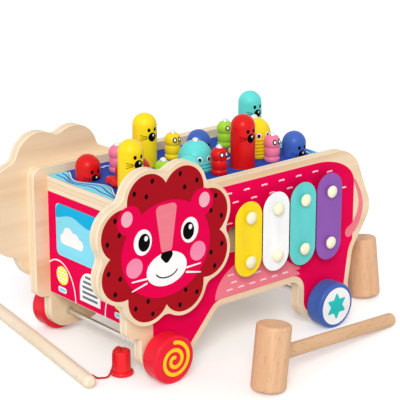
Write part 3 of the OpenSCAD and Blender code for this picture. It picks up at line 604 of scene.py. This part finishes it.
def decal(name, loops, face, coat, tint, body="chassis"):
    """A printed area inside closed loops of (right, up) millimetres, on the coat-th layer of ink."""
    outline = bpy.data.curves.new(name, "CURVE")
    outline.dimensions = "2D"
    outline.fill_mode = "BOTH"
    outline.extrude = INK / 2
    for loop in loops:
        spline = outline.splines.new("POLY")
        spline.points.add(len(loop) - 1)
        for point, (u, v) in zip(spline.points, loop):
            point.co = (u, v, 0, 1)
        spline.use_cyclic_u = True
    shape = bpy.data.objects.new(name + "_outline", outline)
    bpy.context.scene.collection.objects.link(shape)
    bpy.context.view_layer.update()
    mesh = bpy.data.meshes.new_from_object(shape.evaluated_get(bpy.context.evaluated_depsgraph_get()))
    bpy.data.objects.remove(shape)
    mesh.transform(face @ Matrix.Translation((0, 0, INK * (coat + 0.5))))
    return add_piece(name, mesh, INKS[tint], body)


def add_piece(name, mesh, material, body):
    """Puts a mesh in the scene as a piece that rides on a body."""
    mesh.name = name
    mesh.materials.clear()
    mesh.materials.append(material)
    piece = bpy.data.objects.new(name, mesh)
    bpy.context.scene.collection.objects.link(piece)
    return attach(piece, body)


# Lion's face, in millimetres about the plaque's centre; ovals are place across, place up and radii
MANE_LOBES = 8
MANE_LOBE_STEPS = 32
MANE_HALF_W = 55.0
MANE_HALF_H = 51.2
MANE_PRINT_LOBE = 24.4
MANE_DOTS = ((13.5, -11.5), (14.5, 11), (4, 0.5))
MANE_DOT_R = (2.0, 2.5)
LION_FACE = (0, -4.5, 53, 47)
LION_EAR = (43, 32, 14, 14)
LION_EAR_CORE = (46, 34, 6.5, 7.5)
LION_CHEEK = (38, -15, 9.5, 9.5)
LION_EYE = (28, 8, 10.5, 12.5)
LION_PUPIL = (26.5, 7.5, 6.8, 8.6)
LION_GLINT = (26.5, 11, 2.1, 2.5)
LION_GLINT_SHIFT = 2.2
LION_MUZZLE = (0, -24, 24, 16.5)
LION_BLAZE = [(-13, 39), (13, 39), (6, -8), (-6, -8)]
LION_BLAZE_CORNER = 5
LION_NOSE = [(-11.5, -7), (11.5, -7), (0, -20)]
LION_NOSE_CORNER = 3.6
LION_SMILE = (0, -25, 13, -7.5)
LION_SMILE_HALF_ANGLE = 72
LION_SMILE_W = 1.3
WHISKER_FROM = 24
WHISKER_TO = 41
WHISKER_RISES = ((-28.5, 0.5), (-33, -4))
WHISKER_W = 2.0
WHISKER_TAPER = 0.6


def lobe_at(k):
    """Centre of the k-th mane lobe about the plaque's centre."""
    turn = 2 * math.pi * (k + 0.5) / MANE_LOBES
    return Vector((MANE_HALF_W * math.cos(turn), MANE_HALF_H * math.sin(turn)))


def mane_loop(radius):
    """Outline of the round lobes, meeting in cusps, about the plaque's centre."""
    lobes = [lobe_at(k) for k in range(MANE_LOBES)]
    steps = MANE_LOBES * MANE_LOBE_STEPS
    loop = []
    for i in range(steps):
        turn = 2 * math.pi * i / steps
        ray = Vector((math.cos(turn), math.sin(turn)))
        reaches = []
        for lobe in lobes:
            along, aside = lobe.dot(ray), lobe.cross(ray)
            if abs(aside) < radius:
                reaches.append(along + math.sqrt(radius ** 2 - aside ** 2))
        loop.append(tuple(ray * max(reaches)))
    return loop


def mane_dots():
    """Three dots on each lobe of the mane."""
    dots = []
    for k in range(MANE_LOBES):
        lobe = lobe_at(k)
        out = lobe.normalized()
        aside = Vector((-out.y, out.x))
        for reach, shift in MANE_DOTS:
            place = lobe + out * reach + aside * shift
            dots.append(circle(place.x, place.y, *MANE_DOT_R, steps=16))
    return dots


def lion_whiskers():
    """Two pale strokes on each side of the muzzle."""
    return [ribbon([(s * WHISKER_FROM, v), (s * WHISKER_TO, v + lift)], WHISKER_W, WHISKER_TAPER)
            for s in (-1, 1) for v, lift in WHISKER_RISES]


def print_lion(side, face, centre):
    """A plain lion's face on a plaque, about centre."""
    def mark(name, loops, coat, tint):
        placed = [[(u + centre[0], v + centre[1]) for u, v in loop] for loop in loops]
        decal(f"lion_{name}_{side}", placed, face, coat, tint)

    def pair(u, v, wide, tall, shift=0, steps=40):
        return [circle(s * u + shift, v, wide, tall, steps) for s in (-1, 1)]

    smile = bow(*LION_SMILE, -LION_SMILE_HALF_ANGLE, LION_SMILE_HALF_ANGLE, steps=12)
    mark("mane", [mane_loop(MANE_PRINT_LOBE)], 0, "mane")
    mark("dots", mane_dots(), 1, "black")
    mark("ears", pair(*LION_EAR), 1, "red")
    mark("face", [circle(*LION_FACE, steps=72)], 2, "red")
    mark("ear_cores", pair(*LION_EAR_CORE), 3, "petal")
    mark("blaze", [rounded(LION_BLAZE, LION_BLAZE_CORNER)], 3, "pink")
    mark("cheeks", pair(*LION_CHEEK), 3, "rose")
    mark("eyes", pair(*LION_EYE), 3, "white")
    mark("pupils", pair(*LION_PUPIL), 4, "black")
    mark("glints", pair(*LION_GLINT, LION_GLINT_SHIFT, steps=20), 5, "white")
    mark("muzzle", [circle(*LION_MUZZLE, steps=56)], 4, "white")
    mark("nose", [rounded(LION_NOSE, LION_NOSE_CORNER)], 5, "black")
    mark("mouth", [ribbon(smile, LION_SMILE_W)], 5, "black")
    mark("whiskers", lion_whiskers(), 4, "white")


# Side boards, in millimetres; a row of strokes is its first place, the gap and the count
SIDE_PRINT_FRONT = -116.5
SIDE_PRINT_REAR = 150.5
SIDE_PRINT_CORNER = (55.5, 30.0)
BELLY_AT = (14, 60.5)
BELLY_RISE = 37
BELLY_FRONT = 53
BELLY_REAR = 62
BELLY_STEPS = 24
BELLY_REAR_STEPS = 18
BELLY_END = [(75.2, 68.4), (75.2, 66.4), (68.2, 66.6), (73.4, 63.6), (75.6, 60.5)]
TOP_ROWS = ((-21.8, 166.2, 23.2, 6), (-13, 156, 24, 4))
TOP_STROKES = [(114.4, 162.3), (135, 141), (-21, 135.6)]
BELLY_ROWS = ((-20, 67.2, 14.9, 6),)
BELLY_STROKES = [(-14.4, 74), (17, 76.9), (-19, 82.4)]
TAIL_LINE = [(145.2, 91.0), (152.2, 96.0), (158.6, 105.4), (161.5, 118.0), (158.8, 131.0), (151.4, 146.0)]
TAIL_TUFT_W = 11.5
TAIL_TAPER = 0.25


def side_area(outline):
    """The side board's outline as far as the red print reaches."""
    loop = dense(inset(outline, SIDE_MARGIN))
    wide, tall = SIDE_PRINT_CORNER
    corner = Vector((SIDE_PRINT_REAR - wide, max(v for u, v in loop) - tall))
    made = []
    for u, v in loop:
        place = Vector((min(max(u, SIDE_PRINT_FRONT), SIDE_PRINT_REAR), v))
        arm = place - corner
        reach = math.hypot(arm.x / wide, arm.y / tall)
        if min(arm) > 0 and reach > 1:
            place = corner + arm / reach
        made.append(tuple(place))
    return made


def belly_loop():
    """Pink patch over the arch of the belly, steep in front and falling away to the rear."""
    u, v = BELLY_AT
    loop = bow(u, v, -BELLY_FRONT, BELLY_RISE, 90, 0, BELLY_STEPS)
    for i in range(1, BELLY_REAR_STEPS + 1):
        share = i / BELLY_STEPS
        loop.append((u + BELLY_REAR * share, v + BELLY_RISE * (1 - share ** 2)))
    return loop + BELLY_END


def strokes(rows, places):
    """Short printed strokes in rows and at single places."""
    half = (DASH_L - DASH_W) / 2
    spots = [(u + gap * i, v) for u, v, gap, count in rows for i in range(count)] + places
    return [ribbon([(u - half, v), (u, v + DASH_BEND), (u + half, v)], DASH_W) for u, v in spots]


def print_side(side, face, body_loops):
    """Red print on a side board, with a belly patch, a tail and rows of strokes."""
    sign = -1 if side == "far" else 1

    def mark(name, loops, coat, tint):
        placed = [[(sign * u, v) for u, v in loop] for loop in loops]
        decal(f"side_{name}_{side}", placed, face, coat, tint)

    mark("body", body_loops, 0, "red")
    mark("belly", [belly_loop()], 1, "pink")
    mark("strokes", strokes(TOP_ROWS, TOP_STROKES), 1, "blush")
    mark("belly_strokes", strokes(BELLY_ROWS, BELLY_STROKES), 2, "blush")
    mark("tail", [ribbon(smooth_line(TAIL_LINE), TAIL_TUFT_W, TAIL_TAPER)], 1, "pink")


def print_sides():
    """Both side boards and their plaques; only the near board has the sound slot."""
    board_y = box_mm("side_panel_near")[0].y
    plaque_y = box_mm("plaque_near")[0].y
    middle = middle_mm("plaque_near")
    loops = [[(p.x, p.z) for p in loop] for loop in face_loops("side_panel_near", (0, -1, 0))]
    area, slot = side_area(loops[0]), loops[1]
    print_side("near", near_face(board_y), [area, slot])
    print_side("far", far_face(-board_y), [area])
    print_lion("near", near_face(plaque_y), (middle.x, middle.z))
    print_lion("far", far_face(-plaque_y), (-middle.x, middle.z))


# End boards, in millimetres across from the middle and up from the floor
FRONT_CORNER = 0.5
GLASS_HALF = 54
GLASS_LOW = 94.5
GLASS_HIGH = 148.5
GLASS_CORNER = 6
HAZE_AT = 136
HAZE_SWING = 3
HAZE_WAVE = 9
CLOUDS = ((-47, 108, 38), (3, 116, 30), (20, 98, 26))
CLOUD_END = 0.14
CLOUD_PUFFS = ((0.36, 0.26, 0.23), (0.64, 0.2, 0.2))
WING_AT = (52, 51)
WING_HALF_W = 28
WING_RISE = 37
WING_ANGLES = (-32, 90)
WING_LINE_W = 1.4
LAMP_AT = (45.5, 73.5)
LAMP_R = 9.7
STRIPES_EACH_WAY = 2
STRIPE_GAP = 3.2
STRIPE_W = 1.1
STRIPE_SHORT = 0.8
STRIPE_WAVE = (0.4, 1.3)
BLINKER_AT = (46, 58.2)
BLINKER_HALF = (7, 3)
BLINKER_CORNER = 2.8
BLINKER_RIM = 1.3
GRILLE_HALF = 16.5
GRILLE_LOW = 56.5
GRILLE_SHOULDER = 70
GRILLE_HIGH = 88
SLATS = 5
SLAT_LOW = 60
SLAT_GAP = 5.4
SLAT_H = 2.5
SLAT_HALF = 12.2
SLAT_SHOULDER = 68
SLAT_RISE = 17
SLAT_CORNER = 0.6


def end_area(node):
    """Corners of the red print on an end board."""
    low, high = box_mm(node)
    half = high.y - END_MARGIN
    return rectangle(-half, low.z + END_MARGIN, half, high.z)


def cloud(u, v, size, steps=48):
    """Closed loop of a cloud, size wide, whose flat bottom lies at v and whose left end at u.

    A puff is its place, its height and its radius, as shares of the width.
    """
    end = CLOUD_END
    puffs = ((end, end, end), *CLOUD_PUFFS, (1 - end, end, end))
    top, bottom = [], []
    for i in range(steps + 1):
        across = i / steps
        rises = [b + math.sqrt(max(0, r * r - (across - a) ** 2))
                 for a, b, r in puffs if abs(across - a) <= r]
        aside = max(0, end - across, across - 1 + end)
        top.append((u + size * across, v + size * max(rises)))
        bottom.append((u + size * across, v + size * (end - math.sqrt(end ** 2 - aside ** 2))))
    return top + bottom[-2:0:-1]


def haze_loop(steps=24):
    """Darker sky along the windscreen's top, with a wavy lower edge."""
    half, shoulder = GLASS_HALF, GLASS_HIGH - GLASS_CORNER
    across = [-half + 2 * half * i / steps for i in range(steps + 1)]
    wave = [(u, HAZE_AT - HAZE_SWING * math.cos(u / HAZE_WAVE)) for u in across]
    inner = half - GLASS_CORNER
    return wave + [(half, shoulder), (inner, GLASS_HIGH), (-inner, GLASS_HIGH), (-half, shoulder)]


def lamp_stripes(u, v, steps=8):
    """Wavy stripes across the lamp at (u, v), with steps on each side of its middle."""
    swing, pace = STRIPE_WAVE
    stripes = []
    for k in range(-STRIPES_EACH_WAY, STRIPES_EACH_WAY + 1):
        rise = STRIPE_GAP * k
        reach = math.sqrt(LAMP_R ** 2 - rise ** 2) - STRIPE_SHORT
        line = [(u + reach * i / steps, v + rise + swing * math.sin(pace * i))
                for i in range(-steps, steps + 1)]
        stripes.append(ribbon(line, STRIPE_W))
    return stripes


def blinker(u, v):
    """Rounded outline of the blinker at (u, v)."""
    wide, tall = BLINKER_HALF
    return rounded(rectangle(u - wide, v - tall, u + wide, v + tall), BLINKER_CORNER)


def grille_slats():
    """Slats that follow the grille's round top."""
    slats = []
    for k in range(SLATS):
        v = SLAT_LOW + SLAT_GAP * k
        reach = SLAT_HALF * math.sqrt(1 - (max(0, v - SLAT_SHOULDER) / SLAT_RISE) ** 2)
        slats.append(rounded(rectangle(-reach, v, reach, v + SLAT_H), SLAT_CORNER))
    return slats


def print_front():
    """Red front board with a windscreen, lamps, wings and a grille."""
    face = face_frame((box_mm("front_panel")[0].x, 0, 0), (0, -1, 0), (0, 0, 1))

    def mark(name, loops, coat, tint):
        decal("front_" + name, loops, face, coat, tint)

    glass = rectangle(-GLASS_HALF, GLASS_LOW, GLASS_HALF, GLASS_HIGH)
    wings = [bow(s * WING_AT[0], WING_AT[1], -s * WING_HALF_W, WING_RISE, *WING_ANGLES) for s in (-1, 1)]
    lamps = [(s * LAMP_AT[0], LAMP_AT[1]) for s in (-1, 1)]
    rims = [blinker(s * BLINKER_AT[0], BLINKER_AT[1]) for s in (-1, 1)]
    grille = bow(0, GRILLE_SHOULDER, GRILLE_HALF, GRILLE_HIGH - GRILLE_SHOULDER, 90, -90)
    grille += [(-GRILLE_HALF, GRILLE_LOW), (GRILLE_HALF, GRILLE_LOW)]
    mark("red", [rounded(end_area("front_panel"), FRONT_CORNER)], 0, "red")
    mark("glass", [rounded(glass, GLASS_CORNER)], 1, "glass")
    mark("sky", [haze_loop()], 2, "azure")
    mark("clouds", [cloud(*place) for place in CLOUDS], 3, "white")
    mark("wings", [ribbon(wing, WING_LINE_W) for wing in wings], 1, "white")
    mark("lamps", [circle(u, v, LAMP_R) for u, v in lamps], 1, "lemon")
    mark("lamp_stripes", [stripe for u, v in lamps for stripe in lamp_stripes(u, v)], 2, "white")
    mark("blinker_rims", rims, 1, "white")
    mark("blinkers", [inset(rim, BLINKER_RIM) for rim in rims], 2, "glass")
    mark("grille", [grille], 1, "white")
    mark("bars", grille_slats(), 2, "grey")


def print_rear():
    """Plain red rear board."""
    face = face_frame((box_mm("rear_panel")[1].x, 0, 0), (0, 1, 0), (0, 0, 1))
    decal("rear_red", [end_area("rear_panel")], face, 0, "red")


# Deck, in millimetres; a wave is its end of the deck, its reach and its swing
WAVES = ((-1, 15, 7), (1, 12, 5))
WAVE_STEPS = 60
WAVE_BARE_STEPS = 2
SWELL_SHARES = (0.4, 0.75)
SWELL_SWING = 1.2
SWELL_WAVE = 6
SWELL_W = 1.5
FOAM_AWAY = 1.4
FOAM_W = 1.2
RIPPLES = ((-70, 55), (-52, -12), (-18, 14), (44, -4), (54, 52), (20, -50), (96, 8))
RIPPLE_STEPS = 4
RIPPLE_STEP = 1.3
RIPPLE_SWING = 1.1
RIPPLE_W = 1.9


def ripple(u, v):
    """A short wavy stroke about (u, v)."""
    turns = range(-RIPPLE_STEPS, RIPPLE_STEPS + 1)
    line = [(u + RIPPLE_STEP * k, v + RIPPLE_SWING * math.sin(k)) for k in turns]
    return ribbon(line, RIPPLE_W)


def print_deck():
    """Blue water with pale waves at both ends, whose crests keep step with the rows of moles."""
    high = box_mm("deck")[1]
    face = face_frame((0, 0, high.z), (1, 0, 0), (0, 1, 0))
    loops = [[(p.x, p.y) for p in loop] for loop in face_loops("deck", (0, 0, 1))]
    edge_x, edge_y = high.x - DECK_MARGIN, high.y - DECK_MARGIN
    row_gap = 2 * middle_mm("mole_red_far").y
    across = [-edge_y + 2 * edge_y * i / WAVE_STEPS for i in range(WAVE_STEPS + 1)]
    shallows, lines, foam = [], [], []
    for s, reach, swing in WAVES:
        end = s * edge_x
        crest = [(s * (edge_x - reach - swing * math.cos(2 * math.pi * v / row_gap)), v) for v in across]
        shallows.append([(end, -edge_y)] + crest + [(end, edge_y)])
        inner = crest[WAVE_BARE_STEPS:-WAVE_BARE_STEPS]
        for share in SWELL_SHARES:
            swell = [(end + (u - end) * share + SWELL_SWING * math.sin(v / SWELL_WAVE), v)
                     for u, v in inner]
            lines.append(ribbon(swell, SWELL_W))
        foam.append(ribbon([(u - s * FOAM_AWAY, v) for u, v in inner], FOAM_W))
    decal("deck_water", [inset(loops[0], DECK_MARGIN)] + loops[1:], face, 0, "blue")
    decal("deck_shallows", shallows, face, 1, "sky")
    decal("deck_lines", lines, face, 2, "blue")
    decal("deck_foam", foam, face, 2, "white")
    decal("deck_ripples", [ripple(u, v) for u, v in RIPPLES], face, 1, "white")


# Wheels, in millimetres: a spiral at the front, which widens by each quarter turn, a star at the rear
SPIRAL_FROM = 3
SPIRAL_GROWTH = 1.9
SPIRAL_QUARTERS = 8
SPIRAL_W = 3.7
DISC_R = 19.8
STAR_RADII = (15.2, 8.2)
STAR_POINTS = 6
STAR_CORNER = 1.3


def spiral(u, v, steps=12):
    """Closed loop of a spiral about (u, v), with steps in each quarter turn."""
    line = []
    for k in range(SPIRAL_QUARTERS * steps + 1):
        reach, turn = SPIRAL_FROM + SPIRAL_GROWTH * k / steps, math.pi / 2 * (1 + k / steps)
        line.append((u + reach * math.cos(turn), v + reach * math.sin(turn)))
    return ribbon(line, SPIRAL_W)


def star(u, v):
    """Closed loop of a star about (u, v)."""
    corners = []
    for k in range(2 * STAR_POINTS):
        reach, turn = STAR_RADII[k % 2], math.radians(90 + 180 / STAR_POINTS * k)
        corners.append((u + reach * math.cos(turn), v + reach * math.sin(turn)))
    return rounded(corners, STAR_CORNER)


def print_wheels():
    """Prints on the outer faces of the four wheels."""
    def outer(wheel, side):
        low, high = box_mm(wheel)
        middle = middle_mm(wheel)
        if side == "near":
            return near_face(low.y), middle.x, middle.z
        return far_face(high.y), -middle.x, middle.z

    for side in ("near", "far"):
        face, u, v = outer("front_wheel_" + side, side)
        decal("wheel_spiral_" + side, [spiral(u, v)], face, 0, "yellow", "front_wheels")
    for side in ("near", "far"):
        face, u, v = outer("rear_wheel_" + side, side)
        decal("wheel_disc_" + side, [circle(u, v, DISC_R, steps=64)], face, 0, "white", "rear_wheels")
        decal("wheel_star_" + side, [star(u, v)], face, 1, "teal", "rear_wheels")


# Painted faces on curved pieces, in millimetres; ovals are place across, place up and radii
MOLE_EYE = (3.7, -15.1, 1.65, 2.0)
MOLE_NOSE = (0, -22.4, 4.5, 4.6)
# Painted highlight on each mole's nose: a white oval of ink that stands in for the shine of its glossy
# paint
MOLE_PAINTED_HIGHLIGHT = (1.2, -20.9, 0.9, 1.3)
MOLE_WHISKER_FROM = (5.3, -22.5, 0.9)
MOLE_WHISKER_TO = (12.6, -22.9, 2.6)
MOLE_WHISKER_W = 0.55
WORM_EYES = [(-3.45, 1.8), (2.45, 1.8)]
WORM_RIM_R = (2.5, 2.8)
WORM_EYE_R = (1.3, 1.6)
WHALE_EYES = [(-7.6, 1.0), (3.2, 1.0)]
WHALE_EYE_R = (2.8, 3.2)
WHALE_PUPIL_R = (1.7, 2.0)


def oval(u, v, wide, tall, rings=4, steps=24):
    """Points and faces of a filled ellipse with inner rings, so that it can wrap a curved face."""
    points = [(u, v)]
    for k in range(1, rings + 1):
        points += circle(u, v, wide * k / rings, tall * k / rings, steps)
    faces = [(0, 1 + i, 1 + (i + 1) % steps) for i in range(steps)]
    for k in range(rings - 1):
        a, b = 1 + k * steps, 1 + (k + 1) * steps
        faces += [(a + i, b + i, b + (i + 1) % steps, a + (i + 1) % steps) for i in range(steps)]
    return points, faces


def stroke(start, end, width, steps=8):
    """Points and faces of a thin straight mark."""
    line = [Vector(start).lerp(Vector(end), i / steps) for i in range(steps + 1)]
    along = (line[-1] - line[0]).normalized()
    out = Vector((-along.y, along.x)) * (width / 2)
    points = [tuple(p + s * out) for p in line for s in (1, -1)]
    return points, [(2 * i, 2 * i + 1, 2 * i + 3, 2 * i + 2) for i in range(steps)]


def paint(node, name, marks, wrap, coat, tint):
    """Marks in (across, up) millimetres, wrapped on a curved face of a toy."""
    points, faces = [], []
    for mark_points, mark_faces in marks:
        base = len(points)
        points += [wrap(u, v, INK * (coat + 1)) * MM for u, v in mark_points]
        faces += [tuple(base + i for i in f) for f in mark_faces]
    mesh = bpy.data.meshes.new(name)
    mesh.from_pydata(points, [], faces)
    mesh.polygons.foreach_set("use_smooth", [True] * len(faces))
    piece = add_piece(f"{node}_{name}", mesh, INKS[tint], node)
    depth = piece.modifiers.new("depth", "SOLIDIFY")
    depth.thickness = INK * MM
    depth.offset = -1


def on_cylinder(x, y, z, radius):
    """Wrap for an upright cylinder, looking at the sound-bar side, with up measured from z."""
    def wrap(u, v, lift):
        turn = u / radius
        reach = radius + lift
        return Vector((x + reach * math.sin(turn), y - reach * math.cos(turn), z + v))
    return wrap


def on_ball(x, y, z, radius):
    """Wrap for a ball, looking at the sound-bar side, with up measured along its surface from z."""
    def wrap(u, v, lift):
        turn, rise = u / radius, v / radius
        reach = radius + lift
        return Vector((x + reach * math.cos(rise) * math.sin(turn),
                       y - reach * math.cos(rise) * math.cos(turn), z + reach * math.sin(rise)))
    return wrap


def ball_under(node, radius):
    """Wrap for the ball that ends in the flat crown under a toy's tack."""
    crown = box_mm(node)[1].z - TACK_H
    tack = [v.co / MM for v in nodes[node].data.vertices if v.co.z / MM > crown]
    x = sum(p.x for p in tack) / len(tack)
    y = sum(p.y for p in tack) / len(tack)
    return on_ball(x, y, crown - math.sqrt(radius ** 2 - (CROWN_D / 2) ** 2), radius)


def paint_mole(node):
    """Eyes, a nose with a painted highlight and three whiskers on each side."""
    middle = middle_mm(node)
    wrap = on_cylinder(middle.x, middle.y, box_mm(node)[1].z, MOLE_D / 2)
    u, v, *radii = MOLE_EYE
    marks = [oval(s * u, v, *radii, rings=2, steps=16) for s in (-1, 1)] + [oval(*MOLE_NOSE)]
    for s in (-1, 1):
        for k in (-1, 0, 1):
            start, end = [(s * u, v + fan * k) for u, v, fan in (MOLE_WHISKER_FROM, MOLE_WHISKER_TO)]
            marks.append(stroke(start, end, MOLE_WHISKER_W))
    paint(node, "face", marks, wrap, 0, "black")
    # Painted highlight: a white oval of ink on the nose in place of a real reflection
    paint(node, "painted_highlight", [oval(*MOLE_PAINTED_HIGHLIGHT, rings=2, steps=16)], wrap, 1, "white")


def paint_worm(node):
    """White eyes with a black rim."""
    wrap = ball_under(node, WORM_HEAD_D / 2)
    paint(node, "rims", [oval(u, v, *WORM_RIM_R) for u, v in WORM_EYES], wrap, 0, "black")
    paint(node, "eyes", [oval(u, v, *WORM_EYE_R) for u, v in WORM_EYES], wrap, 1, "white")


def paint_whale(node):
    """White eyes with a black pupil."""
    wrap = ball_under(node, WHALE_D / 2)
    paint(node, "eyes", [oval(u, v, *WHALE_EYE_R) for u, v in WHALE_EYES], wrap, 0, "white")
    paint(node, "pupils", [oval(u, v, *WHALE_PUPIL_R) for u, v in WHALE_EYES], wrap, 1, "black")


def paint_toys():
    """A face on every mole, worm and whale."""
    painters = {"mole": paint_mole, "worm": paint_worm, "whale": paint_whale}
    for node in toys:
        painters[node.split("_")[0]](node)


# String

def make_string():
    """The rod's red string, smooth through its route."""
    smooth = smooth_line([Vector(p) * MM for p in STRING_ROUTE])
    curve = bpy.data.curves.new("rod_cord", "CURVE")
    curve.dimensions = "3D"
    curve.bevel_depth = STRING_D / 2 * MM
    curve.bevel_resolution = 4
    spline = curve.splines.new("POLY")
    spline.points.add(len(smooth) - 1)
    for point, place in zip(spline.points, smooth):
        point.co = (*place, 1)
    cord = bpy.data.objects.new("rod_cord", curve)
    bpy.context.scene.collection.objects.link(cord)
    curve.materials.append(fibres("string", STRING_RED, scale=1800))
    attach(cord, "rod")
    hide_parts("rod_string")


# Studio

def seen_directly(tree):
    """Share of 1 where the camera, a mirror or glass looks at the surface, and 0 for its light."""
    path = tree.nodes.new("ShaderNodeLightPath")
    share = path.outputs["Is Camera Ray"]
    for ray in ("Is Glossy Ray", "Is Transmission Ray"):
        either = tree.nodes.new("ShaderNodeMath")
        either.operation = "MAXIMUM"
        tree.links.new(share, either.inputs[0])
        tree.links.new(path.outputs[ray], either.inputs[1])
        share = either.outputs[0]
    return share


def make_floor():
    """White floor that keeps the shadow; its glow is only seen and lights nothing."""
    bpy.ops.mesh.primitive_plane_add(size=FLOOR_SIZE)
    floor = bpy.context.object
    floor.name = "floor"
    f = Finish("floor", 0.7)
    seen = seen_directly(f.tree)
    pale = f.ramp(f.noise(3), (0.3, FLOOR_PALE[0]), (0.7, FLOOR_PALE[1]))
    f.colour(f.mix(seen, linear(FLOOR_BOUNCE), pale))
    f.shader.inputs["Emission Color"].default_value = (1, 1, 1, 1)
    f.feed(f.shader.inputs["Emission Strength"], f.math("MULTIPLY", seen, FLOOR_GLOW))
    floor.data.materials.append(f.material)


def make_sky():
    """White room that looks brighter than it lights."""
    world = bpy.data.worlds.new("studio")
    world.use_nodes = True
    tree = world.node_tree
    sky = tree.nodes["Background"]
    sky.inputs["Color"].default_value = (1, 1, 1, 1)
    level = tree.nodes.new("ShaderNodeMapRange")
    level.inputs["To Min"].default_value = SKY_STRENGTH
    level.inputs["To Max"].default_value = 1.0
    tree.links.new(seen_directly(tree), level.inputs["Value"])
    tree.links.new(level.outputs["Result"], sky.inputs["Strength"])
    bpy.context.scene.world = world


def make_lamp():
    """One soft lamp from the upper front left."""
    light = bpy.data.lights.new("key", "SUN")
    light.energy = KEY_STRENGTH
    light.angle = math.radians(KEY_SOFTNESS)
    lamp = bpy.data.objects.new("key", light)
    lamp.rotation_euler = (-Vector(KEY_FROM)).to_track_quat("-Z", "Y").to_euler()
    bpy.context.scene.collection.objects.link(lamp)


def make_camera():
    """Camera at the photo's viewing angle."""
    data = bpy.data.cameras.new("camera")
    data.sensor_width = CAMERA_SENSOR
    data.lens = CAMERA_LENS
    data.clip_end = FAR_CLIP
    camera = bpy.data.objects.new("camera", data)
    camera.location = Vector(CAMERA_AT) * MM
    camera.rotation_euler = (math.radians(90 - CAMERA_ELEVATION), 0, math.radians(CAMERA_AZIMUTH))
    bpy.context.scene.collection.objects.link(camera)
    bpy.context.scene.camera = camera


dress_boards()
dress_fittings()
dress_toys()
dress_loose()
print_sides()
print_front()
print_rear()
print_deck()
print_wheels()
paint_toys()
make_string()
make_floor()
make_sky()
make_lamp()
make_camera()
bpy.context.scene.view_settings.view_transform = "Standard"
